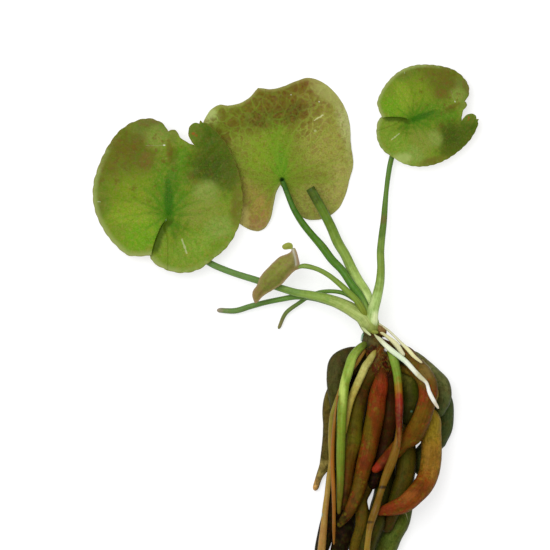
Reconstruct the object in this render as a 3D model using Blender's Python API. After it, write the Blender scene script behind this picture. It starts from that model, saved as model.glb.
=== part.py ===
"""A bare-rooted banana lily lying on a flat surface.

Lengths are in millimetres and become metres when a mesh is made. +Z is up, the surface is at
z = 0, and the plant lies along Y: leaves towards +Y, tubers towards -Y. The origin is on the
surface, under the middle of the plant.
"""
import math

import bmesh
import bpy
import numpy as np
from mathutils import Vector

MM = 0.001

# Clearance kept between neighbouring pieces.
GAP = 0.35
# Clearance of the other pieces from the crown, where they grow from it.
CROWN_GAP = 0.35
# How far a root that lies on the surface is flattened underneath.
FLATTENED = 0.1

# Leaves are flat sheets cut into cells this wide.
LEAF_THICKNESS = 0.7
LEAF_CELL = 5.4
LEAF_EDGE_STEP = 3.2

# Roots and stalks are tubes with rings of these sides.
TUBER_SIDES = 8
CROWN_SIDES = 12
ROOT_SIDES = 6
STATION_STEP = 0.55
TUBER_RING_STEP = 4.0
ROOT_RING_STEP = 2.7
STALK_RING_STEP = 4.6
CROWN_RING_STEP = 2.6

# Settling of a root onto what lies under it.
SETTLING_STEPS = 1600
SAG = 0.0055

# Leaf joints, where each stalk meets its leaf: x, y, height.
LEFT_JOINT = (-35.4, 32.1, 6.1)
RIGHT_JOINT = (37.6, 60.8, 4.7)
MIDDLE_JOINT = (-1.2, 42.6)
RIGHT_LEAF_TURN = math.radians(-70.8)
RIGHT_LEAF_SIZE = 0.674

# How far from the joint the left and right leaves start to droop to the surface.
PAD_DROOP_WIDTH = 22.5
PAD_RIPPLE = 0.35
MIDDLE_DOME_CENTRE = (-2.0, 8.0)
MIDDLE_DOME_RADIUS = 24.5
MIDDLE_DOME_HEIGHT = 3.7

# Outline of the left leaf from its joint, as runs between its corners.
PAD_RUNS = [
    [(-0.3, -1.2), (-1.8, -3.1), (-3.1, -5.8), (-4.2, -8.8), (-5.0, -12.2)],
    [(-5.0, -12.2), (-8.1, -12.5), (-12.0, -12.2), (-15.0, -9.9), (-19.2, -4.8), (-22.1, 1.8),
     (-22.5, 9.0), (-21.3, 14.1), (-19.2, 19.2), (-14.4, 25.5), (-10.8, 27.9), (-5.4, 29.1),
     (-3.0, 28.4), (-0.9, 27.0), (0.6, 25.1)],
    [(0.6, 25.1), (2.5, 25.5)],
    [(2.5, 25.5), (2.9, 23.7), (4.8, 22.4), (8.1, 21.0)],
    [(8.1, 21.0), (6.6, 23.2), (5.9, 25.9)],
    [(5.9, 25.9), (6.9, 27.3), (8.8, 28.1), (11.0, 28.0), (13.5, 26.2), (17.1, 22.2), (20.4, 15.6),
     (22.2, 9.0), (22.5, 1.8), (20.7, -5.1), (17.7, -9.9), (13.5, -13.5), (9.3, -16.5),
     (5.7, -17.4), (1.2, -17.4), (-3.9, -14.7)],
    [(-3.9, -14.7), (-4.4, -12.6), (-3.6, -8.9), (-2.5, -5.9), (-1.2, -3.4), (-0.3, -1.2)],
]

# Outline of the middle leaf from its joint.
MIDDLE_RUNS = [
    [(-0.5, -1.5), (-1.5, -3.3), (-2.4, -6.9), (-3.6, -12.0), (-5.1, -14.4), (-6.9, -15.3),
     (-9.3, -15.0), (-12.6, -13.2), (-17.1, -10.2), (-21.6, -5.4), (-24.0, 0.0), (-25.2, 6.0),
     (-24.9, 12.0), (-23.4, 17.7), (-21.0, 21.3), (-18.6, 22.5), (-16.2, 22.3), (-13.2, 22.8),
     (-10.2, 24.3), (-7.2, 27.6)],
    [(-7.2, 27.6), (-3.0, 27.2), (0.3, 27.9), (4.5, 29.4), (8.1, 30.6), (12.0, 29.4),
     (15.9, 26.1), (18.6, 22.2), (20.4, 17.1), (20.9, 10.5), (21.4, 4.5), (20.1, -0.3),
     (19.2, -3.9), (17.1, -8.4), (14.7, -10.5), (12.0, -11.7), (9.0, -12.0), (7.2, -11.7),
     (3.9, -9.3), (1.5, -4.2), (-0.5, -1.5)],
]

# Outline of the folded young leaf, in the plant's own x and y.
YOUNG_RUNS = [
    [(-9.3, 5.4), (-10.2, 7.5), (-9.9, 9.3), (-8.7, 10.8), (-8.1, 12.9), (-6.6, 15.3),
     (-4.5, 17.4), (-1.8, 19.8), (1.0, 20.9)],
    [(1.0, 20.9), (-0.9, 21.7), (-1.3, 22.9), (0.4, 24.1), (1.8, 23.4), (2.5, 21.9),
     (3.3, 19.2), (4.2, 16.9), (4.0, 16.0)],
    [(4.0, 16.0), (2.1, 14.7), (0.2, 13.2), (-1.8, 11.4), (-3.8, 9.9), (-6.3, 8.4),
     (-8.1, 6.6), (-9.3, 5.4)],
]
YOUNG_THICKNESS = 1.9
YOUNG_BASE_HEIGHT = 10.4
YOUNG_SLOPE = 0.06

# Axis of the crown and rootstock, top to bottom: x, y, height, radius.
CROWN_AXIS = [
    (23.9, 5.7, 9.4, 2.1), (24.4, 2.9, 9.4, 3.0), (25.0, -0.3, 9.3, 2.95), (25.4, -3.0, 9.2, 2.6),
    (25.8, -6.0, 9.1, 2.35), (26.6, -9.3, 9.0, 2.6), (27.5, -12.4, 8.9, 2.7),
    (28.0, -14.6, 8.9, 2.1),
]

# Stalks and shoots from the crown outwards: x, y, height, radius.
STALKS = {
    "stalk_left": [
        (23.6, 1.4, 9.5, 2.1), (19.5, 3.7, 9.3, 2.0), (14.7, 6.1, 8.9, 1.65), (9.0, 7.8, 8.1, 1.3),
        (3.6, 8.7, 7.3, 1.15), (-0.6, 9.9, 6.6, 1.05), (-9.0, 12.6, 5.3, 1.0),
        (-15.6, 14.7, 4.5, 0.95), (-22.8, 17.7, 3.9, 0.95), (-30.3, 24.0, 3.9, 0.9),
        (-34.6, 30.4, 4.3, 0.8),
    ],
    "stalk_middle": [
        (23.6, 4.8, 9.5, 1.3), (21.3, 9.0, 9.3, 1.3), (18.3, 13.8, 8.6, 1.3), (14.1, 18.3, 7.8, 1.3),
        (9.2, 24.6, 7.0, 1.1), (6.0, 27.9, 6.5, 0.95), (2.7, 33.0, 6.0, 0.85),
        (0.3, 38.7, 5.6, 0.75), (-1.0, 42.2, 5.5, 0.75),
    ],
    "stalk_cut": [
        (25.0, 4.0, 7.0, 2.0), (24.2, 7.0, 6.5, 2.0), (21.7, 11.7, 6.1, 1.8), (18.9, 16.8, 5.9, 1.6),
        (15.9, 23.0, 5.9, 1.5), (12.6, 30.4, 6.0, 1.4), (9.7, 35.7, 6.1, 1.35), (7.2, 40.1, 6.2, 1.35),
    ],
    "stalk_right": [
        (25.0, 1.8, 9.9, 1.6), (26.3, 5.1, 9.8, 1.55), (27.6, 9.0, 9.3, 1.45),
        (28.3, 13.8, 8.2, 1.2), (28.7, 22.2, 6.5, 1.05), (29.3, 30.6, 5.0, 0.95),
        (30.2, 39.6, 3.8, 0.85), (30.7, 44.1, 3.3, 0.8), (31.8, 49.8, 2.9, 0.75),
        (34.3, 55.8, 2.9, 0.75), (37.0, 60.1, 3.1, 0.75),
    ],
    "stalk_young": [
        (23.2, 3.4, 11.6, 0.95), (19.7, 8.4, 11.6, 0.95), (16.8, 11.4, 11.4, 0.85),
        (12.9, 14.1, 11.1, 0.75), (9.2, 16.2, 10.8, 0.7), (6.2, 16.8, 10.6, 0.65),
        (4.6, 16.7, 10.5, 0.65),
    ],
    "shoot_blunt": [
        (23.4, 1.2, 6.5, 0.85), (19.8, 3.0, 6.1, 0.83), (15.0, 5.1, 5.8, 0.83), (10.2, 6.6, 5.4, 0.83),
        (5.4, 7.6, 4.9, 0.83), (1.2, 7.4, 4.3, 0.83), (-3.9, 6.6, 3.4, 0.83),
        (-9.0, 5.4, 2.5, 0.83), (-13.5, 3.6, 1.8, 0.83), (-17.4, 3.3, 1.3, 0.8),
        (-20.1, 3.5, 1.1, 0.7),
    ],
    "shoot_pointed": [
        (22.4, 5.0, 7.6, 0.65), (18.9, 7.8, 7.6, 0.65), (16.2, 9.0, 7.1, 0.6), (12.0, 9.2, 5.7, 0.6),
        (9.3, 9.0, 4.3, 0.6), (7.8, 8.1, 3.4, 0.6), (6.2, 6.9, 2.9, 0.6), (3.6, 5.5, 2.4, 0.6),
        (0.0, 3.0, 1.7, 0.55), (-1.6, 0.6, 1.2, 0.4), (-2.1, -1.7, 0.9, 0.25),
    ],
}

# Tubers from the rootstock to their tips, the lowest first: height at the rootstock, then
# x, y, radius.
TUBERS = {
    "tuber_left_bottom": (6.4, [
        (26.2, -12.0, 0.9), (23.8, -14.0, 0.9), (20.3, -18.9, 1.6), (18.3, -27.9, 1.5),
        (16.8, -36.9, 1.5), (15.3, -44.4, 1.8), (14.2, -51.0, 2.1), (13.2, -57.0, 2.25),
        (12.0, -62.7, 2.35), (10.7, -67.8, 2.1), (9.6, -71.7, 1.2)]),
    "tuber_shaded": (6.2, [
        (27.0, -12.0, 0.9), (25.6, -15.6, 0.9), (22.8, -21.9, 1.2), (21.0, -30.9, 1.5),
        (20.0, -39.9, 1.8), (19.1, -47.4, 2.1), (18.5, -54.0, 2.5), (18.0, -60.0, 2.85),
        (16.8, -65.4, 2.8), (15.3, -70.2, 2.1), (14.4, -73.5, 1.2)]),
    "tuber_bottom_middle": (6.3, [
        (28.0, -12.5, 0.9), (27.3, -17.0, 0.9), (25.2, -24.9, 1.5), (24.0, -33.9, 1.6),
        (23.8, -41.4, 1.85), (23.6, -46.2, 2.0), (22.8, -51.0, 1.85), (22.3, -54.9, 1.95),
        (21.9, -60.0, 2.05), (21.4, -65.4, 1.95), (20.4, -70.2, 1.7), (19.5, -73.5, 1.0)]),
    "tuber_right_bottom": (6.6, [
        (29.0, -12.5, 0.9), (31.0, -15.6, 0.9), (33.9, -21.9, 1.2), (35.9, -30.9, 1.5),
        (36.4, -38.4, 1.65), (36.5, -45.9, 2.0), (36.1, -50.4, 2.4), (35.3, -54.9, 2.75),
        (34.2, -58.8, 3.1), (32.6, -63.0, 3.45), (31.0, -66.9, 3.5), (28.7, -71.1, 2.8),
        (27.0, -74.5, 1.4)]),
    "tuber_right_lower": (7.0, [
        (28.4, -9.6, 0.9), (31.8, -11.4, 0.9), (35.4, -13.2, 1.35), (40.2, -15.6, 1.65),
        (44.7, -19.2, 2.05), (47.2, -23.4, 2.65), (48.1, -28.2, 2.75), (46.6, -33.0, 2.75),
        (42.5, -37.2, 2.7), (41.5, -41.2, 2.1), (40.9, -45.2, 1.3)]),
    "tuber_dark_lower": (7.4, [
        (28.8, -13.0, 0.9), (29.8, -16.5, 0.9), (30.9, -23.4, 1.2), (31.5, -32.4, 1.5),
        (31.1, -39.9, 1.9), (29.8, -46.8, 2.8), (28.1, -53.4, 2.4), (26.7, -58.8, 2.4),
        (25.4, -63.9, 2.55), (24.0, -68.1, 2.3), (22.8, -72.0, 1.4)]),
    "tuber_left_outer": (8.0, [
        (25.5, -9.6, 1.0), (22.2, -12.0, 1.0), (19.5, -14.4, 1.3), (16.5, -17.4, 1.8),
        (14.3, -21.0, 2.2), (13.4, -25.8, 2.3), (13.2, -32.4, 2.3), (12.7, -39.0, 2.15),
        (11.6, -43.5, 1.7), (10.2, -47.1, 1.25), (8.9, -49.8, 0.9)]),
    "tuber_olive": (7.8, [
        (28.4, -12.0, 0.9), (31.0, -15.9, 0.9), (33.0, -21.9, 1.35), (34.6, -29.4, 1.8),
        (35.9, -36.0, 2.5), (36.0, -41.4, 2.95), (35.3, -47.4, 2.85), (33.7, -52.8, 2.5),
        (31.9, -57.0, 2.0), (30.6, -61.2, 1.1)]),
    "tuber_dark_middle": (8.4, [
        (28.4, -12.6, 1.1), (30.2, -16.5, 1.2), (31.2, -21.0, 1.95), (31.2, -27.0, 2.4),
        (30.5, -33.0, 2.2), (28.8, -39.3, 2.1), (27.3, -44.7, 1.7), (26.6, -48.0, 1.05)]),
    "tuber_green_inner": (9.0, [
        (28.0, -11.0, 0.95), (31.2, -12.6, 1.0), (33.9, -14.4, 1.5), (36.6, -17.4, 2.2),
        (37.7, -21.3, 2.25), (36.9, -25.5, 2.05), (35.4, -29.1, 1.35)]),
    "tuber_right_outer": (9.2, [
        (27.0, -8.8, 1.0), (30.9, -9.3, 1.05), (34.2, -9.6, 1.65), (37.8, -10.8, 2.2),
        (41.7, -12.9, 2.6), (45.3, -16.2, 2.7), (47.1, -20.4, 2.75), (47.1, -24.0, 2.5),
        (45.9, -27.0, 1.5)]),
    "tuber_left_upper": (9.4, [
        (25.4, -6.6, 1.3), (22.4, -8.7, 1.5), (19.8, -9.8, 2.4), (16.7, -11.2, 2.9),
        (14.9, -14.4, 3.0), (14.8, -18.0, 2.65), (15.5, -23.4, 2.4), (16.5, -30.9, 2.25),
        (16.5, -38.4, 1.9), (15.9, -43.8, 1.3)]),
    "tuber_brown": (10.0, [
        (27.0, -12.0, 1.2), (25.5, -14.7, 1.4), (24.0, -17.7, 1.95), (22.2, -23.1, 2.4),
        (20.9, -28.8, 2.4), (19.8, -34.5, 2.2), (19.1, -39.9, 2.1), (18.2, -46.2, 1.95),
        (17.6, -51.6, 1.65), (17.3, -55.2, 1.2)]),
    "tuber_tan": (10.4, [
        (28.4, -10.4, 0.9), (31.2, -12.0, 0.9), (35.4, -14.1, 1.2), (40.2, -16.5, 1.5),
        (43.2, -20.7, 2.0), (44.3, -25.8, 2.5), (44.4, -31.5, 2.95), (43.8, -37.8, 3.1),
        (43.0, -43.4, 3.1), (41.3, -48.5, 3.15), (37.6, -53.0, 2.9), (32.8, -55.3, 2.3),
        (27.9, -56.6, 1.2)]),
    "tuber_red": (10.6, [
        (27.8, -12.6, 1.4), (28.8, -15.6, 1.6), (28.2, -18.3, 2.2), (27.3, -22.5, 2.6),
        (26.7, -27.3, 2.7), (25.5, -33.0, 2.7), (24.4, -38.7, 2.6), (22.6, -45.9, 2.2),
        (21.0, -51.9, 1.95), (18.9, -56.7, 1.65), (16.0, -60.6, 0.9)]),
    "tuber_right_inner": (10.0, [
        (26.2, -4.2, 0.95), (29.1, -5.1, 0.95), (31.8, -6.3, 1.2), (34.8, -8.4, 1.8),
        (38.1, -11.4, 2.6), (41.1, -15.6, 2.85), (42.5, -20.4, 2.8), (41.4, -25.8, 2.7),
        (38.4, -31.5, 2.6), (34.8, -36.3, 2.4), (30.6, -40.5, 2.1), (26.7, -44.1, 1.15)]),
}

# Long thin roots and the white ones, in the order they lie over the tubers.
ROOTS = {
    "root_tan": (10.4, [
        (25.2, -6.6, 0.6), (23.0, -8.4, 0.6), (20.7, -10.8, 0.6), (18.6, -14.4, 0.65),
        (16.8, -18.9, 0.7), (15.3, -23.4, 0.8), (13.9, -27.9, 0.85), (13.5, -32.4, 0.87),
        (13.4, -39.3, 0.9), (13.0, -45.3, 0.9), (12.5, -50.7, 0.85), (11.8, -56.4, 0.95),
        (11.2, -62.4, 1.05), (10.7, -68.1, 1.15), (10.2, -72.9, 0.9), (9.9, -76.2, 0.5)]),
    "root_amber": (10.8, [
        (27.6, -9.4, 0.6), (30.0, -10.2, 0.6), (32.7, -14.4, 0.65), (33.4, -18.9, 0.75),
        (33.7, -23.4, 0.85), (33.8, -27.9, 0.9), (33.8, -32.4, 1.0), (33.2, -36.3, 1.1),
        (31.6, -41.6, 1.3), (29.8, -46.2, 1.25), (28.4, -50.7, 1.05), (27.0, -55.4, 1.2),
        (25.4, -60.0, 1.1), (24.7, -64.5, 0.95), (24.3, -68.1, 1.0), (24.0, -72.0, 0.8),
        (23.9, -75.9, 0.4)]),
    "root_cream": (11.4, [
        (26.4, -8.1, 1.05), (25.2, -10.5, 1.05), (24.2, -12.3, 1.15), (22.5, -15.9, 1.15),
        (20.8, -19.7, 1.15), (19.4, -23.1, 1.1), (18.5, -26.7, 1.05), (17.9, -30.3, 0.9),
        (17.6, -33.0, 0.6)]),
    "root_green_red": (11.0, [
        (27.0, -6.4, 0.9), (30.6, -7.9, 0.9), (31.8, -10.2, 1.2), (32.9, -13.8, 1.25),
        (33.5, -18.0, 1.25), (33.8, -22.8, 1.25), (33.8, -27.0, 1.2), (33.8, -30.6, 0.95),
        (33.8, -34.2, 0.6), (33.7, -37.2, 0.3)]),
    "root_green": (10.8, [
        (25.4, -4.8, 0.9), (23.1, -6.9, 0.95), (21.2, -8.6, 1.2), (19.2, -11.4, 1.3),
        (18.0, -15.3, 1.35), (17.3, -20.4, 1.4), (16.7, -26.4, 1.4), (16.4, -35.4, 1.3),
        (16.2, -44.4, 1.2), (16.0, -51.9, 0.95), (15.8, -57.0, 0.55)]),
    "root_orange": (13.5, [
        (15.5, -21.9, 0.4), (14.7, -27.0, 0.45), (14.1, -34.5, 0.55), (13.9, -42.6, 0.65),
        (14.1, -48.6, 0.6), (14.3, -55.2, 0.55), (14.3, -62.1, 0.5), (14.3, -66.3, 0.3)]),
    "root_white_long": (11.2, [
        (25.8, -2.7, 0.5), (27.6, -4.8, 0.55), (29.4, -6.6, 0.7), (31.4, -8.4, 0.8),
        (34.5, -10.8, 0.8), (36.6, -12.6, 0.85), (38.4, -14.7, 0.75), (39.9, -16.2, 0.8),
        (41.7, -17.6, 0.7), (42.6, -20.4, 0.8), (43.8, -23.1, 0.65), (45.3, -25.5, 0.35)]),
    "root_white_side": (11.4, [
        (26.0, -1.5, 0.4), (29.6, -3.9, 0.45), (32.6, -6.4, 0.55), (34.8, -8.9, 0.5)]),
    "root_white_short": (10.8, [
        (26.0, 0.2, 0.35), (29.3, -1.5, 0.35), (31.2, -3.0, 0.35), (34.0, -5.8, 0.4),
        (36.7, -8.5, 0.6), (38.4, -10.4, 0.55), (40.4, -12.0, 0.35)]),
}

# Colour, roughness of each kind of piece.
FINISHES = {
    "leaf": ((0.20, 0.30, 0.05), 0.5),
    "leaf_middle": ((0.28, 0.27, 0.09), 0.5),
    "leaf_young": ((0.30, 0.22, 0.10), 0.55),
    "stalk": ((0.18, 0.34, 0.06), 0.45),
    "shoot": ((0.16, 0.30, 0.06), 0.45),
    "crown": ((0.35, 0.42, 0.14), 0.5),
    "tuber": ((0.13, 0.08, 0.02), 0.45),
    "root": ((0.35, 0.36, 0.06), 0.45),
    "root_white": ((0.78, 0.80, 0.66), 0.4),
}


def clear_scene():
    for item in list(bpy.data.objects):
        bpy.data.objects.remove(item, do_unlink=True)


def finish_for(name):
    """The material of a piece: the longest entry of FINISHES that its name starts with."""
    kind = max((key for key in FINISHES if name.startswith(key)), key=len)
    material = bpy.data.materials.get(kind)
    if material:
        return material
    colour, roughness = FINISHES[kind]
    material = bpy.data.materials.new(kind)
    material.use_nodes = True
    shader = material.node_tree.nodes["Principled BSDF"]
    shader.inputs["Base Color"].default_value = (*colour, 1.0)
    shader.inputs["Roughness"].default_value = roughness
    shader.inputs["Metallic"].default_value = 0.0
    return material


def add_object(name, bm):
    """Turn a millimetre bmesh into a named object in metres."""
    bmesh.ops.recalc_face_normals(bm, faces=bm.faces)
    bmesh.ops.scale(bm, vec=Vector((MM, MM, MM)), verts=bm.verts)
    mesh = bpy.data.meshes.new(name)
    bm.to_mesh(mesh)
    bm.free()
    mesh.shade_smooth()
    mesh.materials.append(finish_for(name))
    item = bpy.data.objects.new(name, mesh)
    bpy.context.collection.objects.link(item)
    return item


def smooth_line(points, step):
    """Stations about step apart on a smooth line through the points, as rows like the points."""
    points = np.array(points, dtype=float)
    chords = np.linalg.norm(np.diff(points[:, :2], axis=0), axis=1)
    knots = np.concatenate(([0.0], np.cumsum(chords)))
    slopes = np.gradient(points, knots, axis=0)
    count = max(1, round(knots[-1] / step))
    rows = []
    for distance in np.linspace(0.0, knots[-1], count + 1):
        index = min(np.searchsorted(knots, distance, side="right") - 1, len(points) - 2)
        span = knots[index + 1] - knots[index]
        t = (distance - knots[index]) / span
        start, end = points[index], points[index + 1]
        start_slope, end_slope = slopes[index] * span, slopes[index + 1] * span
        rows.append((2 * t**3 - 3 * t**2 + 1) * start + (t**3 - 2 * t**2 + t) * start_slope
                    + (3 * t**2 - 2 * t**3) * end + (t**3 - t**2) * end_slope)
    return np.array(rows)


def floor_height(radii, sides):
    """Height of a tube's axis when its lowest facet is pressed onto the surface."""
    return radii * math.cos(math.pi / sides) - FLATTENED


def settle(line, start_height, resting, sides):
    """Give a root's stations (x, y, radius) their heights above the surface and other roots."""
    radii = line[:, 2]
    lowest = floor_height(radii, sides)
    for other in resting:
        reach = radii[:, None] + other[None, :, 3] + GAP
        apart = np.linalg.norm(line[:, None, :2] - other[None, :, :2], axis=2)
        rise = other[None, :, 2] + np.sqrt(np.maximum(reach**2 - apart**2, 0.0))
        lowest = np.maximum(lowest, np.where(apart < reach, rise, 0.0).max(axis=1))
    height = np.maximum(lowest, start_height)
    for _ in range(SETTLING_STEPS):
        middle = (height[:-2] + height[2:]) / 2
        height[1:-1] = np.maximum(lowest[1:-1], (height[1:-1] + middle) / 2 - SAG)
        height[0] = start_height
        height[-1] = max(lowest[-1], height[-2] - SAG)
    return np.column_stack((line[:, :2], height, radii))


def ring_points(stations, index, sides):
    """Corners of the ring at a station, with a flat side down."""
    before = stations[max(index - 1, 0), :3]
    after = stations[min(index + 1, len(stations) - 1), :3]
    along = Vector(after - before).normalized()
    across = along.cross(Vector((0, 0, 1))).normalized()
    upward = across.cross(along)
    centre = Vector(stations[index, :3])
    corners = []
    for corner in range(sides):
        angle = (corner + 0.5) * 2 * math.pi / sides - math.pi / 2
        arm = across * math.cos(angle) + upward * math.sin(angle)
        corners.append(centre + arm * stations[index, 3])
    return corners


def clear_of_crown(stations, crown, sides):
    """The stations from the first ring that stays outside the crown."""
    first = 0
    for index in range(len(stations)):
        corners = np.array([tuple(corner) for corner in ring_points(stations, index, sides)])
        apart = np.linalg.norm(corners[:, None, :] - crown[None, :, :3], axis=2)
        if (apart - crown[None, :, 3]).min() < CROWN_GAP:
            first = index + 1
    return stations[first:]


def thin_out(stations, ring_step):
    """Every station that is about ring_step from the last one kept, with both ends."""
    length = STATION_STEP * (len(stations) - 1)
    count = max(2, round(length / ring_step))
    chosen = np.round(np.linspace(0, len(stations) - 1, count + 1)).astype(int)
    return stations[chosen]


def round_tip(stations):
    """Add two small rings that round off the last station."""
    last = stations[-1]
    along = stations[-1, :3] - stations[-2, :3]
    along = along / np.linalg.norm(along)
    extra = []
    for forward, shrink in ((0.55, 0.82), (0.92, 0.4)):
        centre = last[:3] + along * last[3] * forward
        extra.append((*centre, last[3] * shrink))
    return np.vstack((stations, extra))


def add_tube(name, stations, sides):
    """A closed tube through the stations; what would be under the surface is pressed flat."""
    bm = bmesh.new()
    rings = []
    for index in range(len(stations)):
        corners = ring_points(stations, index, sides)
        rings.append([bm.verts.new((c.x, c.y, max(c.z, 0.0))) for c in corners])
    for lower, upper in zip(rings, rings[1:]):
        for corner in range(sides):
            following = (corner + 1) % sides
            bm.faces.new((lower[corner], lower[following], upper[following], upper[corner]))
    bm.faces.new(rings[0])
    bm.faces.new(rings[-1])
    return add_object(name, bm)


def add_crown():
    """The crown with its rootstock; returns the stations that the other pieces stay clear of."""
    axis = smooth_line(CROWN_AXIS, STATION_STEP)
    rings = round_tip(thin_out(axis, CROWN_RING_STEP))
    rings = round_tip(rings[::-1])[::-1]
    add_tube("crown", rings, CROWN_SIDES)
    return round_tip(axis)


def add_stalks(crown):
    """Stalks and shoots; only the shoots have rounded tips."""
    laid = []
    for name, points in STALKS.items():
        stations = clear_of_crown(smooth_line(points, STATION_STEP), crown, TUBER_SIDES)
        laid.append(stations)
        rings = thin_out(stations, STALK_RING_STEP)
        if name.startswith("shoot"):
            rings = round_tip(rings)
        add_tube(name, rings, TUBER_SIDES)
    return laid


def add_roots(group, crown, laid, sides, ring_step):
    """Lay each root of the group on what is already there."""
    for name, (start_height, points) in group.items():
        line = smooth_line(points, STATION_STEP)
        stations = settle(line, start_height, laid, sides)
        stations = clear_of_crown(stations, crown, sides)
        laid.append(round_tip(stations))
        add_tube(name, round_tip(thin_out(stations, ring_step)), sides)


def outline_of(runs):
    """Corners and smooth stretches of an outline as one closed list of points."""
    outline = []
    for run in runs:
        for x, y in smooth_line(run, LEAF_EDGE_STEP)[:-1]:
            outline.append((x, y))
    return outline


def cut_into_cells(bm, low, high, cell):
    """Cut a flat face by lines along X and Y."""
    for axis in (0, 1):
        normal = Vector((1, 0, 0)) if axis == 0 else Vector((0, 1, 0))
        count = math.ceil((high[axis] - low[axis]) / cell)
        width = (high[axis] - low[axis]) / count
        for line in range(1, count):
            point = normal * (low[axis] + line * width)
            geometry = bm.verts[:] + bm.edges[:] + bm.faces[:]
            bmesh.ops.bisect_plane(bm, geom=geometry, plane_co=point, plane_no=normal, dist=0.05)


def add_sheet(name, runs, thickness, shape):
    """A closed sheet: the outline in cells, each corner put by shape(x, y) at mid height."""
    outline = outline_of(runs)
    bm = bmesh.new()
    bm.faces.new([bm.verts.new((x, y, 0.0)) for x, y in outline])
    low = (min(x for x, _ in outline), min(y for _, y in outline))
    high = (max(x for x, _ in outline), max(y for _, y in outline))
    cut_into_cells(bm, low, high, LEAF_CELL)
    bottom = bm.verts[:]
    top = bmesh.ops.extrude_face_region(bm, geom=bm.faces[:])["geom"]
    top = {part for part in top if isinstance(part, bmesh.types.BMVert)}
    heights = {vertex: -thickness / 2 for vertex in bottom}
    heights.update({vertex: thickness / 2 for vertex in top})
    for vertex, offset in heights.items():
        x, y, middle = shape(vertex.co.x, vertex.co.y)
        middle = max(middle, thickness / 2)
        vertex.co = Vector((x, y, middle + offset))
    bmesh.ops.triangulate(bm, faces=[face for face in bm.faces if len(face.verts) > 4])
    return add_object(name, bm)


def pad_height(x, y, joint_height, size):
    """Mid height of a notched leaf at x, y from its joint, before it is turned or scaled."""
    droop = (joint_height - LEAF_THICKNESS / 2) * (max(0.0, -x) / PAD_DROOP_WIDTH) ** 2
    angle = math.atan2(y, x)
    ripple = PAD_RIPPLE * size * math.sin(5 * angle + 0.6) * min(1.0, math.hypot(x, y) / 20.0) ** 2
    return joint_height - droop + ripple


def left_leaf_shape(x, y):
    return LEFT_JOINT[0] + x, LEFT_JOINT[1] + y, pad_height(x, y, LEFT_JOINT[2], 1.0)


def right_leaf_shape(x, y):
    """The same leaf, turned and smaller."""
    turned = Vector((x, y)) * RIGHT_LEAF_SIZE
    turned = Vector((turned.x * math.cos(RIGHT_LEAF_TURN) - turned.y * math.sin(RIGHT_LEAF_TURN),
                     turned.x * math.sin(RIGHT_LEAF_TURN) + turned.y * math.cos(RIGHT_LEAF_TURN)))
    height = pad_height(x, y, RIGHT_JOINT[2], RIGHT_LEAF_SIZE)
    return RIGHT_JOINT[0] + turned.x, RIGHT_JOINT[1] + turned.y, height


def middle_leaf_shape(x, y):
    """A low dome, underside up."""
    out = math.hypot(x - MIDDLE_DOME_CENTRE[0], y - MIDDLE_DOME_CENTRE[1]) / MIDDLE_DOME_RADIUS
    height = LEAF_THICKNESS / 2 + MIDDLE_DOME_HEIGHT * (1.0 - min(out, 1.0) ** 2)
    return MIDDLE_JOINT[0] + x, MIDDLE_JOINT[1] + y, height


def young_leaf_shape(x, y):
    """The folded leaf hangs slightly down from its stalk."""
    return x, y, YOUNG_BASE_HEIGHT - YOUNG_SLOPE * (YOUNG_RUNS[2][0][0] - x)


def add_leaves():
    add_sheet("leaf_left", PAD_RUNS, LEAF_THICKNESS, left_leaf_shape)
    add_sheet("leaf_middle", MIDDLE_RUNS, LEAF_THICKNESS, middle_leaf_shape)
    add_sheet("leaf_right", PAD_RUNS, LEAF_THICKNESS, right_leaf_shape)
    add_sheet("leaf_young", YOUNG_RUNS, YOUNG_THICKNESS, young_leaf_shape)


def centre_on_origin():
    """Move every mesh so that the origin is under the middle of the plant."""
    meshes = [item.data for item in bpy.data.objects]
    corners = np.array([tuple(vertex.co) for mesh in meshes for vertex in mesh.vertices])
    middle = (corners.min(axis=0) + corners.max(axis=0)) / 2
    for mesh in meshes:
        for vertex in mesh.vertices:
            vertex.co.x -= middle[0]
            vertex.co.y -= middle[1]


def build():
    clear_scene()
    add_leaves()
    crown = add_crown()
    add_stalks(crown)
    laid = []
    add_roots(TUBERS, crown, laid, TUBER_SIDES, TUBER_RING_STEP)
    add_roots(ROOTS, crown, laid, ROOT_SIDES, ROOT_RING_STEP)
    centre_on_origin()


build()
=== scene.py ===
"""A bare-rooted banana lily lying on a pale floor, seen from straight above.

Lengths are millimetres in the tables and become metres when a mesh is made. Tints are given as
they show on a screen, 0 to 255. Stalks, shoots, tubers and roots follow the rings of their nodes,
and leaves follow the same outlines and heights as their nodes.
"""
import math
import random

import bmesh
import bpy
import numpy as np
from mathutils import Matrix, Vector, noise


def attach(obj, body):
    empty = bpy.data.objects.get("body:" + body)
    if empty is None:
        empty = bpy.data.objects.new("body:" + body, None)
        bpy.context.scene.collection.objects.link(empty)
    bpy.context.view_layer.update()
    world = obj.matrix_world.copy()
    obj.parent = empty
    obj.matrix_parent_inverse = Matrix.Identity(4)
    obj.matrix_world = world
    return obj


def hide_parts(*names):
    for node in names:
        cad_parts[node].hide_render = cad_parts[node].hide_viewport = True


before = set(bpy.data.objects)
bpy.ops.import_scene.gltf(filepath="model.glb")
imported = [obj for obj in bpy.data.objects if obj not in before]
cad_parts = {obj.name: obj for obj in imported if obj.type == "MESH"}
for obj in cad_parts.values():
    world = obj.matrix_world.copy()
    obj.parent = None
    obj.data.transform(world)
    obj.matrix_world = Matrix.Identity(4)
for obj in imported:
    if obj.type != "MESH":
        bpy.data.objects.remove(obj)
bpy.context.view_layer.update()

MM = 0.001

# The tables' origin is this far from the frame's origin; rows of a tube have a radius as well.
TABLE_TO_FRAME = np.array([0.089, -0.405, 0.0])
ROW_TO_FRAME = np.append(TABLE_TO_FRAME, 0.0)

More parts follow.
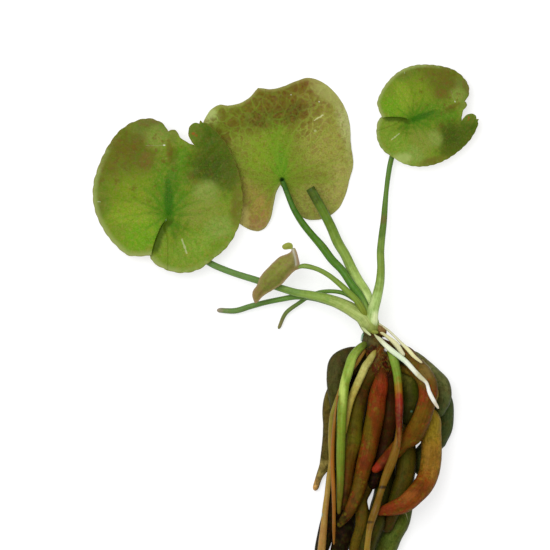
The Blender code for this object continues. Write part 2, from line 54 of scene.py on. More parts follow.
# Where the tubes grow from, in metres, and the height of the rootstock, into which roots dive.
CROWN_PLACE = Vector((0.025, -0.002, 0.009))
ROOTSTOCK_HEIGHT = 9.0

# The camera stands straight above and sees this width of the floor.
PICTURE_WIDTH = 165.0
PICTURE_CENTRE = (-3.21, 13.69)
CAMERA_HEIGHT = 3.0
SENSOR_WIDTH = 36.0
CLOSEST_SEEN, FURTHEST_SEEN = 0.1, 30.0

# The light is a little stronger than full, so that the floor shows white; tints allow for it.
COLOUR_LEVEL = 0.85
SHEEN_LEVEL = 0.010
DARKEST = 0.0015

# The soft light from all round, how much of it shines back from wet skins, and the lamp.
WORLD_LIGHT = 0.72
WORLD_SHEEN = 0.12
SOFTBOX_PLACE, SOFTBOX_WIDTH, SOFTBOX_WATTS = (-0.25, 0.25, 0.85), 0.6, 5.0
FLOOR_RADIUS = 14.0
FLOOR_GREY, FLOOR_GLOW = 0.45, 0.62

# Nothing goes lower than this.
FLOOR_GAP = 0.02

# A size that no piece reaches, and a distance for lines not yet measured.
ANY_HEIGHT = 1e6
FAR_AWAY = 1e9


def tint(red, green, blue):
    """A colour given as it shows on a screen, 0 to 255, in the renderer's linear values."""
    linear = []
    for part in (red, green, blue):
        share = part / 255.0
        linear.append(share / 12.92 if share <= 0.04045 else ((share + 0.055) / 1.055) ** 2.4)
    return (*(max(part * COLOUR_LEVEL - SHEEN_LEVEL, DARKEST) for part in linear), 1.0)


def deselect():
    bpy.ops.object.select_all(action="DESELECT")


def name_new_piece(name):
    piece = bpy.context.object
    piece.name = name
    piece.data.name = name
    return piece


def turn_faces_out(merge=0.0):
    """Close the active piece's seams, where merge is given, and turn its faces outwards."""
    bpy.ops.object.mode_set(mode="EDIT")
    bpy.ops.mesh.select_all(action="SELECT")
    if merge:
        bpy.ops.mesh.remove_doubles(threshold=merge * MM)
    bpy.ops.mesh.normals_make_consistent(inside=False)
    bpy.ops.object.mode_set(mode="OBJECT")


def corners_of(item):
    """The corners of a mesh as rows in millimetres."""
    flat = np.zeros(len(item.data.vertices) * 3)
    item.data.vertices.foreach_get("co", flat)
    return flat.reshape(-1, 3) / MM


def place_corners(item, corners):
    item.data.vertices.foreach_set("co", (np.asarray(corners) * MM).ravel())
    item.data.update()


def store(item, name, values):
    """Keep a number or a vector for every corner, for the materials to read."""
    values = np.asarray(values, dtype=float)
    kind = "FLOAT" if values.ndim == 1 else "FLOAT_VECTOR"
    field = "value" if values.ndim == 1 else "vector"
    attribute = item.data.attributes.new(name, kind, "POINT")
    attribute.data.foreach_set(field, values.ravel())


def noise_at(places, scale, seed=0.0):
    """Smooth noise from -1 to 1 at rows of places, with features about scale wide."""
    shift = Vector((seed * 3.7, seed * 1.3, seed * 5.1))
    return np.array([noise.noise(Vector(place) / scale + shift) for place in places])


def ease(low, high, values):
    """0 below low, 1 above high, smooth between."""
    share = np.clip((values - low) / (high - low), 0.0, 1.0)
    return share * share * (3.0 - 2.0 * share)


def distances_along(points):
    """How far along the line through them the points lie."""
    return np.concatenate(([0.0], np.cumsum(np.linalg.norm(np.diff(points, axis=0), axis=1))))


def smooth_route(points, step):
    """Rows about step apart on a smooth line through the points, as long as the points' rows."""
    points = np.array(points, dtype=float)
    knots = distances_along(points[:, :3])
    slopes = np.gradient(points, knots, axis=0)
    rows = []
    for distance in np.linspace(0.0, knots[-1], max(1, round(knots[-1] / step)) + 1):
        index = min(np.searchsorted(knots, distance, side="right") - 1, len(points) - 2)
        span = knots[index + 1] - knots[index]
        t = (distance - knots[index]) / span
        rows.append((2 * t**3 - 3 * t**2 + 1) * points[index]
                    + (t**3 - 2 * t**2 + t) * slopes[index] * span
                    + (3 * t**2 - 2 * t**3) * points[index + 1]
                    + (t**3 - t**2) * slopes[index + 1] * span)
    return np.array(rows)


def turned(x, y, angle):
    """Places turned about the upright axis."""
    cosine, sine = math.cos(angle), math.sin(angle)
    return x * cosine - y * sine, x * sine + y * cosine


def stand_for(piece, node, slot, *finishes):
    """The piece gets its finishes and takes a node's place in the picture."""
    for finish in finishes:
        piece.data.materials.append(finish)
    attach(piece, "root")
    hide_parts(node)


# Node trees. A value that a node is given is a number, a colour or another node's output.


def put(tree, kind, inputs=(), **settings):
    """Add a node with (socket: value) inputs; return its outputs."""
    node = tree.nodes.new(kind)
    for name, value in settings.items():
        setattr(node, name, value)
    for socket, value in dict(inputs).items():
        if isinstance(value, bpy.types.NodeSocket):
            tree.links.new(value, node.inputs[socket])
        else:
            node.inputs[socket].default_value = value
    return node.outputs


def sums(tree, operation, first, second=0.0, clamp=False):
    return put(tree, "ShaderNodeMath", {0: first, 1: second}, operation=operation,
               use_clamp=clamp)[0]


def times(tree, first, second):
    return sums(tree, "MULTIPLY", first, second)


def vectors(tree, operation, first, second=(0, 0, 0)):
    return put(tree, "ShaderNodeVectorMath", {0: first, 1: second}, operation=operation)[0]


def scaled(tree, vector, factor):
    return put(tree, "ShaderNodeVectorMath", {0: vector, "Scale": factor}, operation="SCALE")[0]


def length_of(tree, vector):
    return put(tree, "ShaderNodeVectorMath", {0: vector}, operation="LENGTH")["Value"]


def ranged(tree, value, low, high, to_low=0.0, to_high=1.0):
    return put(tree, "ShaderNodeMapRange", {0: value, 1: low, 2: high, 3: to_low, 4: to_high},
               interpolation_type="SMOOTHSTEP")[0]


def noise_texture(tree, place, scale, detail, roughness=0.5):
    return put(tree, "ShaderNodeTexNoise", {"Vector": place, "Scale": scale, "Detail": detail,
                                            "Roughness": roughness})


def new_group(name, inputs, outputs):
    """An empty node group. Its inputs have these defaults, and its outputs are numbers."""
    group = bpy.data.node_groups.new(name, "ShaderNodeTree")
    for label, default in inputs.items():
        kind = "NodeSocketVector" if isinstance(default, tuple) else "NodeSocketFloat"
        socket = group.interface.new_socket(label, in_out="INPUT", socket_type=kind)
        socket.default_value = default
    for label in outputs:
        group.interface.new_socket(label, in_out="OUTPUT", socket_type="NodeSocketFloat")
    start = group.nodes.new("NodeGroupInput")
    end = group.nodes.new("NodeGroupOutput")
    return group, start.outputs, end.inputs


def turned_from(group, given, origin):
    """A group's place, seen from its origin and turned by its Turn."""
    near = vectors(group, "SUBTRACT", given["Place"], given[origin])
    return put(group, "ShaderNodeVectorRotate", {"Vector": near, "Angle": given["Turn"]},
               rotation_type="Z_AXIS")[0]


def make_patch_group():
    """A soft-edged oval mark: 1 inside, 0 outside, with a ragged edge."""
    group, given, result = new_group("patch", {
        "Place": (0, 0, 0), "Centre": (0, 0, 0), "Size": (1, 1, 1), "Turn": 0.0, "Softness": 0.5,
        "Raggedness": 0.3, "Grain": 0.5, "Strength": 1.0}, ["Mask"])
    oval = vectors(group, "DIVIDE", turned_from(group, given, "Centre"), given["Size"])
    rough = noise_texture(group, given["Place"], given["Grain"], 4.0, 0.65)[0]
    rough = times(group, sums(group, "SUBTRACT", rough, 0.5), given["Raggedness"])
    reach = sums(group, "ADD", length_of(group, oval), times(group, rough, 4.0))
    inner = sums(group, "SUBTRACT", 1.0, given["Softness"])
    outer = sums(group, "ADD", 1.0, given["Softness"])
    mask = ranged(group, reach, inner, outer, 1.0, 0.0)
    group.links.new(times(group, mask, given["Strength"]), result["Mask"])
    return group


def make_mottle_group():
    """Cloudy mottling."""
    group, given, result = new_group("mottle", {
        "Place": (0, 0, 0), "Scale": 1.0, "Low": 0.4, "High": 0.6, "Detail": 5.0}, ["Mask"])
    cloud = noise_texture(group, given["Place"], given["Scale"], given["Detail"], 0.6)[0]
    group.links.new(ranged(group, cloud, given["Low"], given["High"]), result["Mask"])
    return group


def make_fleck_group():
    """Small scattered round flecks; Share is how many of the places have one."""
    group, given, result = new_group("flecks", {
        "Place": (0, 0, 0), "Scale": 1.0, "Size": 0.15, "Share": 0.3}, ["Mask"])
    cell = put(group, "ShaderNodeTexVoronoi", {"Vector": given["Place"], "Scale": given["Scale"]})
    inner = times(group, given["Size"], 0.4)
    spot = ranged(group, cell["Distance"], inner, given["Size"], 1.0, 0.0)
    chosen = put(group, "ShaderNodeSeparateColor", {0: cell["Color"]})[0]
    chosen = sums(group, "LESS_THAN", chosen, given["Share"])
    group.links.new(times(group, spot, chosen), result["Mask"])
    return group


def make_fibre_group():
    """Fine fibres along a stalk or a root as a mask, and with pores as a height."""
    group, given, result = new_group("fibres", {
        "Place": (0, 0, 0), "Across": 3.0, "Along": 0.12}, ["Mask", "Height"])
    stretch = put(group, "ShaderNodeCombineXYZ",
                  {0: given["Across"], 1: given["Across"], 2: given["Along"]})[0]
    place = vectors(group, "MULTIPLY", given["Place"], stretch)
    fibre = noise_texture(group, place, 1.0, 3.0)[0]
    pores = noise_texture(group, given["Place"], 4.5, 3.0)[0]
    group.links.new(ranged(group, fibre, 0.35, 0.65), result["Mask"])
    group.links.new(sums(group, "ADD", fibre, times(group, pores, 0.5)), result["Height"])
    return group


def make_net_group():
    """The net of fine veins between the main ones: 1 on a vein, and a number for each cell."""
    group, given, result = new_group("vein net", {
        "Place": (0, 0, 0), "Scale": 8.0, "Width": 0.1}, ["Mask", "Cell"])
    warp = noise_texture(group, given["Place"], 0.9, 3.0)[1]
    warp = scaled(group, vectors(group, "SUBTRACT", warp, (0.5, 0.5, 0.5)), 0.9)
    cell = {"Vector": vectors(group, "ADD", given["Place"], warp), "Scale": given["Scale"],
            "Randomness": 0.9}
    away = put(group, "ShaderNodeTexVoronoi", cell, feature="DISTANCE_TO_EDGE")["Distance"]
    mask = ranged(group, away, 0.0, given["Width"], 1.0, 0.0)
    tone = put(group, "ShaderNodeTexVoronoi", cell)["Color"]
    group.links.new(mask, result["Mask"])
    group.links.new(put(group, "ShaderNodeSeparateColor", {0: tone})[0], result["Cell"])
    return group


def make_scratch_group():
    """A thin line from one place, used for scratches, creases and painted glints: 1 on it."""
    group, given, result = new_group("scratch", {
        "Place": (0, 0, 0), "From": (0, 0, 0), "Length": 1.0, "Turn": 0.0, "Width": 0.2}, ["Mask"])
    along, across, _ = put(group, "ShaderNodeSeparateXYZ", {0: turned_from(group, given, "From")})
    waver = ranged(group, noise_texture(group, given["Place"], 1.3, 2.0)[0], 0.3, 0.7, 0.5, 1.5)
    width = times(group, given["Width"], waver)
    away = sums(group, "ABSOLUTE", across)
    inside = ranged(group, away, times(group, width, 0.5), width, 1.0, 0.0)
    after = sums(group, "GREATER_THAN", along, 0.0)
    before = sums(group, "LESS_THAN", along, given["Length"])
    mask = times(group, inside, times(group, after, before))
    group.links.new(mask, result["Mask"])
    return group


GROUPS = {
    "patch": make_patch_group(),
    "mottle": make_mottle_group(),
    "flecks": make_fleck_group(),
    "fibres": make_fibre_group(),
    "net": make_net_group(),
    "scratch": make_scratch_group(),
}


def use_group(tree, name, inputs):
    return put(tree, "ShaderNodeGroup", inputs, node_tree=GROUPS[name])


def new_finish(name, roughness, specular):
    """A material with its shader; returns the material, its tree and the shader's inputs."""
    material = bpy.data.materials.new(name)
    material.use_nodes = True
    tree = material.node_tree
    surface = tree.nodes["Principled BSDF"].inputs
    surface["Roughness"].default_value = roughness
    surface["Specular IOR Level"].default_value = specular
    return material, tree, surface


def read(tree, name, output="Fac"):
    """What the piece keeps for each corner under that name."""
    return put(tree, "ShaderNodeAttribute", attribute_name=name)[output]


def plan_place(tree):
    """Object coordinates in millimetres."""
    return scaled(tree, put(tree, "ShaderNodeTexCoord")["Object"], 1.0 / MM)


def lay(tree, colour, over, mask, share=None):
    """Lay a tint, or another colour of the tree, over a colour where the mask shows."""
    if share is not None:
        mask = times(tree, mask, share)
    if isinstance(over, tuple):
        over = tint(*over)
    return put(tree, "ShaderNodeMix", {0: mask, 6: colour, 7: over}, data_type="RGBA",
               clamp_factor=True)[2]


def mottle(tree, place, scale, low, high, detail=5.0):
    return use_group(tree, "mottle", {"Place": place, "Scale": scale, "Low": low, "High": high,
                                      "Detail": detail})["Mask"]


def lay_mottles(tree, colour, place, clouds):
    """Lay cloudy mottles (scale, low, high, detail, over, share) over a colour."""
    for *cloud, over, share in clouds:
        colour = lay(tree, colour, over, mottle(tree, place, *cloud), share)
    return colour


def flecks(tree, place, scale, size, share):
    return use_group(tree, "flecks", {"Place": place, "Scale": scale, "Size": size,
                                      "Share": share})["Mask"]


def broad_patch(tree, place, centre, half, softness, strength):
    """A wide soft oval as a mask."""
    return use_group(tree, "patch", {
        "Place": place, "Centre": (*centre, 0), "Size": (*half, ANY_HEIGHT),
        "Softness": softness, "Strength": strength})["Mask"]


def add_patches(tree, colour, place, patches):
    """Lay oval marks (x, y, half width, half length, turn, tint, strength) over a colour."""
    for x, y, wide, long, turn, red, green, blue, strength in patches:
        mask = use_group(tree, "patch", {
            "Place": place, "Centre": (x, y, 0), "Size": (wide, long, ANY_HEIGHT),
            "Turn": math.radians(-turn), "Softness": 0.55, "Raggedness": 0.28, "Grain": 0.55,
            "Strength": strength})["Mask"]
        colour = lay(tree, colour, (red, green, blue), mask)
    return colour


def add_scratches_and_glints(tree, colour, place, scratches):
    """Lay scratches and painted glints (x, y, length, turn, width, tint, strength) over a colour.
    """
    for x, y, length, turn, width, red, green, blue, strength in scratches:
        mask = use_group(tree, "scratch", {
            "Place": place, "From": (x, y, 0), "Length": length, "Turn": math.radians(turn),
            "Width": width})["Mask"]
        colour = lay(tree, colour, (red, green, blue), mask, strength)
    return colour


def add_bump(tree, surface, height, distance, strength):
    bump = put(tree, "ShaderNodeBump",
               {"Height": height, "Distance": distance * MM, "Strength": strength})
    tree.links.new(bump[0], surface["Normal"])


# Tubes: stalks, shoots, tubers and roots.

ROUND_SIDES = {"stalk": 8, "shoot": 8, "tuber": 8, "root": 6}


def node_rings(node):
    """Centre and radius of each ring of a tube's node, from the crown to the tip."""
    sides = ROUND_SIDES[node.split("_")[0]]
    solid = bmesh.new()
    solid.from_mesh(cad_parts[node].data)
    bmesh.ops.remove_doubles(solid, verts=solid.verts, dist=0.001 * MM)
    merged = solid.copy()
    bmesh.ops.dissolve_limit(merged, angle_limit=math.radians(0.05), verts=merged.verts,
                             edges=merged.edges)
    ends = [face for face in merged.faces
            if len(face.verts) == sides and abs(face.normal.z) < 0.9]
    start = min(ends, key=lambda face: (face.calc_center_median() - CROWN_PLACE).length)
    first = [corner.co for corner in start.verts]
    wave = {min(solid.verts, key=lambda vertex: (vertex.co - place).length) for place in first}
    seen = set(wave)
    rings = []
    while wave:
        ring = np.array([tuple(vertex.co) for vertex in wave]) / MM
        centre = ring.mean(axis=0)
        rings.append((*centre, np.linalg.norm(ring - centre, axis=1).mean()))
        wave = {edge.other_vert(vertex) for vertex in wave for edge in vertex.link_edges} - seen
        seen |= wave
    merged.free()
    solid.free()
    return np.array(rings)


def round_off(route, length):
    """Round the end of a route over the given length."""
    travelled = distances_along(route[:, :3])
    left = travelled[-1] - travelled
    base = route[left <= length][0]
    along = route[-1, :3] - base[:3]
    rows = []
    for angle in np.linspace(0.0, math.pi / 2, 9):
        place = base[:3] + along * math.sin(angle)
        rows.append((*place, max(base[3] * math.cos(angle), 0.03)))
    return np.vstack((route[left > length], rows))


def add_tubes(name, routes, sides, merge=0.0005, twist="Z_UP"):
    """Round tubes along routes (x, y, height, radius): a curve with a bevel, made a mesh."""
    deselect()
    bpy.ops.curve.primitive_nurbs_path_add()
    curve = bpy.context.object.data
    curve.splines.clear()
    for route in routes:
        line = curve.splines.new("POLY")
        line.points.add(len(route) - 1)
        for point, (x, y, z, radius) in zip(line.points, route):
            point.co = (x * MM, y * MM, z * MM, 1.0)
            point.radius = radius
    curve.bevel_depth = MM
    curve.bevel_resolution = (sides - 4) // 2
    curve.use_fill_caps = True
    curve.twist_mode = twist
    bpy.ops.object.convert(target="MESH")
    tube = name_new_piece(name)
    turn_faces_out(merge)
    return tube


def shape_skin(tube, route, lumps, ridges, wrinkles, seed):
    """Give a tube its lumps, lengthwise ridges and fine wrinkles, and press it onto the floor."""
    corners = corners_of(tube)
    apart = np.linalg.norm(corners[:, None, :] - route[None, :, :3], axis=2)
    nearest = apart.argmin(axis=1)
    ahead = np.gradient(route[:, :3], axis=0)
    ahead /= np.linalg.norm(ahead, axis=1)[:, None]
    ahead = ahead[nearest]
    offset = corners - route[nearest, :3]
    offset -= (offset * ahead).sum(axis=1)[:, None] * ahead
    side = np.cross(ahead, (0.0, 0.0, 1.0))
    side /= np.linalg.norm(side, axis=1)[:, None]
    up = np.cross(side, ahead)
    angle = np.arctan2((offset * up).sum(axis=1), (offset * side).sum(axis=1))
    along, radius = distances_along(route[:, :3])[nearest], route[nearest, 3]
    around = np.column_stack((np.cos(angle), np.sin(angle), along))
    swelling = lumps * noise_at(around * (1.0, 1.0, 1 / 9.0), 1.0, seed)
    swelling += ridges * np.cos(3 * angle + 0.05 * along + seed) * ease(1.0, 6.0, along)
    swelling += ridges * 0.6 * np.cos(5 * angle - 0.08 * along + 2 * seed)
    swelling += wrinkles * noise_at(around * (1.6, 1.6, 0.9), 1.0, seed + 4)
    swelling += wrinkles * 0.7 * noise_at(around * (4.5, 4.5, 0.5), 1.0, seed + 9)
    corners = corners + offset * swelling[:, None]
    corners[:, 2] = np.maximum(corners[:, 2], FLOOR_GAP)
    place_corners(tube, corners)
    store(tube, "skin", np.column_stack((np.cos(angle) * radius, np.sin(angle) * radius, along)))
    store(tube, "along", along / along.max())
    tube.data.shade_smooth()


# Small soft moves of a tube near a place: x, y, reach, shift in x, y and height, radius factor.
BENDS = {
    "tuber_right_inner": [
        (31, -6, 4, 0.6, -1.7, 0, 0.85), (39.6, -32.6, 4.8, 0.7, -1.7, 0, 1.26),
        (39.8, -12.6, 5, -0.45, -0.8, 0, 0.95)],
    "tuber_left_upper": [(14.6, -15.6, 6, 0.35, -0.1, 0, 1)],
    "tuber_right_outer": [
        (44, -15, 6, -0.95, -0.85, 0, 1), (41.2, -12.4, 3.2, 0, -0.45, 0, 1),
        (47.6, -21.5, 5, -0.75, 0, 0, 1)],
    "tuber_right_bottom": [(31, -65.5, 7, -0.85, 0, 0, 0.92)],
    "tuber_right_lower": [
        (48, -27.5, 4.5, -0.6, 0, 0, 1), (45.4, -34.4, 3.6, -0.2, -0.1, 0, 1.38),
        (42.4, -37.6, 2.8, 0.95, 0.35, 0, 1.14), (41.5, -41.4, 2.6, -0.9, -0.4, 0, 1.35),
        (41, -45.2, 2, -0.2, 0.5, 0, 1.3)],
    "tuber_tan": [
        (44.3, -25.8, 4.6, -2.3, 0, -1.5, 0.72), (44.4, -31.5, 4.6, -1.4, 0, -0.8, 1),
        (43.8, -37.8, 4.6, -0.35, 0, 0, 1), (41.8, -46.4, 3.6, 0.2, -0.3, 0, 0.93),
        (40.4, -51.6, 5, -0.2, 0.6, 0, 0.93)],
    "tuber_left_outer": [
        (20.4, -14, 4.8, 1.2, 0.2, 1.3, 1.7), (24.1, -10.6, 3, -0.3, 0.7, 0.6, 1.6),
        (13.2, -32, 6, 0.3, 0, 0, 1), (10.7, -46.6, 4.6, -0.55, 0.1, 0, 0.75)],
    "tuber_brown": [(24.9, -15.9, 3.2, 0.4, 0, 0.2, 1.32), (19.8, -35, 5.6, 0.45, 0, 0, 1.18)],
    "tuber_olive": [(33.6, -52.2, 4, -0.5, 0, 0, 1.07), (30.8, -60.6, 3.6, -0.4, -0.5, 0, 1.45)],
    "tuber_green_inner": [(36.8, -21, 4, -0.4, 0, 0, 1.16), (35.6, -28.6, 3.4, 0.7, 0, 0, 1.4)],
    "tuber_dark_lower": [
        (29, -50.8, 5, 0.6, 0, 0, 1.14), (26.4, -60.6, 4.2, 0.5, 0, 0, 1.15),
        (26.4, -66, 4.4, -0.2, 0, 0, 0.9)],
    "tuber_bottom_middle": [
        (23.1, -49, 3.6, 0.5, 0, 0, 1.25), (22, -60.5, 5.5, 0.85, 0, 0, 0.97),
        (22.6, -57.4, 3.2, 0.4, 0, 0, 1.08)],
    "tuber_dark_middle": [
        (30.5, -17, 3.8, 0.4, 0.4, 0, 1.5), (26.8, -48.4, 3.2, -0.7, -0.65, 0, 1.6)],
    "root_green_red": [(28.6, -6.8, 3.2, 0, 0, -1.8, 1)],
    "root_tan": [(21.2, -12.2, 7, 1.35, -0.1, 0.5, 1.15), (13, -42, 6.5, 0.3, 0, 0, 0.9)],
    "root_green": [(19, -14.2, 5.5, 0.55, 0, 0, 1.1)],
    "root_white_side": [(33.4, -8, 6.5, -0.2, 0.2, 0, 1.45), (35.4, -9.6, 3, 0.45, -1.5, 0, 1)],
    "stalk_middle": [
        (16.2, 17.6, 4.6, -0.1, 0, 0, 0.78), (19.6, 12.4, 4.4, -0.5, 0, 0, 0.86),
        (5, 30, 6, 0.2, 0.05, 0, 1.12)],
    "stalk_young": [
        (15.8, 12.4, 5, 0, -0.5, 0, 1), (10, 15.8, 4.5, 0, -0.35, 0, 1),
        (18.6, 10.6, 4, -0.35, -0.4, 0, 1)],
    "stalk_cut": [(18.6, 18.8, 6, 0.5, 0.2, 0, 0.92), (21.2, 10.6, 4, -0.25, 0, 0, 1.12)],
    "stalk_right": [(30.8, 39, 8, -0.12, 0, 0, 0.84), (28.6, 22, 8, -0.35, 0, 0, 1.04)],
    "shoot_blunt": [(-4.4, 7.2, 7, 0, -0.35, 0, 0.92)],
    "root_amber": [(27, -52, 9, -0.1, 0, 0, 0.9), (23.4, -65, 8, -0.2, 0, 0, 0.88)],
    "root_orange": [(15.3, -23.5, 9, 0, 0, -0.1, 0.55)],
    "root_white_long": [(41.8, -19.2, 5.5, -0.1, -0.15, 0, 0.66), (36, -12.5, 5, 0, 0, 0, 0.9)],
    "shoot_pointed": [
        (0, 3, 2.2, 0.1, -0.2, 0.1, 1.12), (-1.6, 0.6, 1.9, 0, 0, 0.1, 1.5),
        (-2.1, -1.7, 1.5, 0, 0, 0.1, 2)],
}

# How far a tube without lead rows runs back into the crown, in shares of its reach, and how far
# it sinks towards the rootstock on the way.
ROOT_BACK_STEPS = ((1.0, 0.85), (0.5, 0.4))
LEAD_NARROWING = 0.95

# The tubes are this much fuller than the flat-sided solids, whose corners lie on the circle.
FULLER = 1.03


def bend(rings, moves):
    """Shift and widen the rings near each move's place."""
    for x, y, reach, right, back, lift, factor in moves:
        away = np.linalg.norm(rings[:, :2] - (np.array((x, y)) + TABLE_TO_FRAME[:2]), axis=1)
        share = 1.0 - ease(0.0, reach, away)
        rings[:, :3] += share[:, None] * (right, back, lift)
        rings[:, 3] *= 1.0 + (factor - 1.0) * share
    return rings


def dress_tube(node, slot, finish, sides, step, start=(), end=(), reach=1.8, lumps=0.07,
               ridges=0.02, wrinkles=0.012, tip=1.6, seed=0):
    """The piece that stands for a tube's node. start rows lead it into the crown."""
    rings = bend(node_rings(node), BENDS.get(node, ()))
    if tip:
        rings = rings[:-2]
    if start:
        rings = np.vstack((np.array(start) + ROW_TO_FRAME, rings))
    elif reach:
        back = rings[0, :3] - rings[1, :3]
        back /= np.linalg.norm(back)
        lead = []
        for share, sunk in ROOT_BACK_STEPS:
            x, y, z = rings[0, :3] + back * reach * share
            lead.append((x, y, z + (ROOTSTOCK_HEIGHT - z) * sunk, rings[0, 3] * LEAD_NARROWING))
        rings = np.vstack((lead, rings))
    if end:
        rings = np.vstack((rings, np.array(end) + ROW_TO_FRAME))
    route = smooth_route(rings, step)
    route[:, 3] *= FULLER
    if tip:
        last = route[-1, :3] - route[-2, :3]
        last /= np.linalg.norm(last)
        grown = route[-1].copy()
        grown[:3] += last * route[-1, 3] * 0.9
        route = round_off(np.vstack((route, grown)), max(tip * route[-1, 3], 2.2 * step))
    tube = add_tubes(node, [route], sides)
    shape_skin(tube, route, lumps, ridges, wrinkles, seed)
    stand_for(tube, node, slot, finish)


# Leaves. Outlines run from the joint of stalk and leaf, in runs that meet at sharp corners.
PAD_RUNS = [
    [(-0.3, -1.2), (-1.8, -3.1), (-3.1, -5.8), (-4.2, -8.8), (-5, -12.2)],
    [(-5, -12.2), (-8.1, -12.5), (-12, -12.2), (-15, -9.9), (-19.2, -4.8), (-22.1, 1.8),
     (-22.5, 9), (-21.2, 14), (-18.9, 19.2), (-14.4, 25.5), (-10.8, 27.9), (-5.4, 29.1),
     (-3, 28.4), (-0.9, 27), (0.2, 25.1)],
    [(0.2, 25.1), (1.1, 25.7), (2.1, 25.75), (2.9, 24.9), (3.5, 23.8), (4.6, 22.6), (6.1, 21.8),
     (8.1, 21)],
    [(8.1, 21), (6.9, 22.4), (6.3, 24.2), (6.3, 26), (7.2, 27.2), (8.6, 27.9), (9.5, 27.5)],
    [(9.5, 27.5), (9.9, 28.5), (10.5, 27.9), (11.2, 27.8), (13.5, 26.2), (17.1, 22.2),
     (20.4, 15.6), (22.2, 9), (22.5, 1.8), (20.7, -5.1), (17.7, -9.9), (13.5, -13.5),
     (9.3, -16.5), (5.7, -17.5), (1.2, -17.1), (-2.1, -15.8), (-3.8, -14.4), (-4.5, -13.1)],
    [(-4.5, -13.1), (-4.3, -11.6), (-3.6, -8.9), (-2.5, -5.9), (-1.2, -3.4), (-0.3, -1.2)],
]
MIDDLE_RUNS = [
    [(-0.5, -1.5), (-1.5, -3.3), (-2.4, -6.9), (-3.6, -12), (-5.1, -14.4), (-6.9, -15.3),
     (-9.3, -15), (-12.6, -13.2), (-17.1, -10.2), (-21.6, -5.4), (-24, 0), (-25.2, 6),
     (-24.9, 12), (-23.4, 17.7), (-21, 21.3), (-18.6, 22.5), (-16.2, 22.3), (-13.2, 22.8),
     (-10.2, 24.3), (-7.2, 27.6)],
    [(-7.2, 27.6), (-3, 27.2), (0.3, 28), (4.3, 29.65), (8.1, 30.6), (12, 29.4), (15.9, 26.1),
     (18.6, 22.2), (20.2, 17.1), (20.65, 10.5), (21.3, 4.5), (20.1, -0.3), (19.2, -3.9),
     (17.1, -8.4), (14.7, -10.5), (12, -11.7), (9, -12), (7.2, -11.7), (3.9, -9.3), (1.5, -4.2),
     (-0.5, -1.5)],
]
YOUNG_RUNS = [
    [(-9.2, 5.5), (-9.8, 6.8), (-10.1, 8.1), (-9.8, 9.5), (-8.9, 10.7), (-8.5, 11.6),
     (-7.7, 13.5), (-6.4, 15.2), (-4.3, 17.3), (-2, 19.4), (-0.3, 20.2), (0.7, 20.6),
     (1.45, 21.1), (1.7, 21.8)],
    [(1.7, 21.8), (0.9, 21.8), (-0.1, 21.6), (-0.9, 21.9), (-1.2, 22.6), (-0.3, 23.5),
     (0.7, 23.8), (1.7, 23.5), (2.1, 22.8), (2.05, 22.1)],
    [(2.05, 22.1), (2.6, 22.2), (3, 21.5), (3.7, 19.2), (4.1, 17.1), (4, 15.9)],
    [(4, 15.9), (3, 15.6), (2.2, 15), (0.5, 13.3), (-1.2, 11.4), (-3.7, 9.8), (-5.8, 8.5),
     (-7.3, 7.4), (-8.7, 5.8), (-9.2, 5.5)],
]

# The slit of the round leaves: its right side slides under the left one.
SLIT = [(-0.3, -1.2), (-1.5, -3.3), (-2.9, -5.8), (-3.9, -8.9), (-4.8, -12.6), (-5.2, -15)]

# Main veins, from the joint outwards.
PAD_VEINS = [
    [(0, 0), (0.3, 5.2), (0.2, 11), (0.9, 15.5), (2.2, 20.5), (1.6, 25)],
    [(0, 1.5), (-1.5, 6), (-4, 11), (-4.6, 15), (-5.5, 20), (-8, 25.5)],
    [(0, 0.5), (-4.5, 6), (-9.5, 10), (-14, 15.5), (-16.5, 20)],
    [(0, 0), (-6, 3), (-12, 5), (-18, 6.5), (-21.5, 8)],
    [(0, 0), (-6, 0.5), (-12, -0.5), (-18, -2)],
    [(0, 0), (-4.5, -3), (-9, -5.5), (-13.5, -9)],
    [(-0.2, -0.5), (-2.6, -4.5), (-5.5, -8), (-8, -11.5)],
    [(0, 1.5), (2.2, 6.5), (4.6, 11.5), (7.5, 15.5), (10, 20), (11.5, 26)],
    [(0, 0.5), (5, 5.5), (10.5, 9.5), (15, 13.5), (18, 17)],
    [(0, 0), (6, 3), (12, 5), (18, 6.5), (21.5, 7.5)],
    [(0, 0), (5.5, 0), (11, 0.2), (17, -0.3), (21.5, -1)],
    [(0, 0), (3.5, -3), (8, -5.6), (14, -6.6), (17.5, -9)],
    [(0.3, -0.8), (3.8, -5), (6.3, -7.8), (9.5, -12), (11.5, -14.5)],
    [(0.2, -0.8), (1.5, -4.5), (2.4, -8), (3.6, -12.5), (4.5, -16.5)],
]
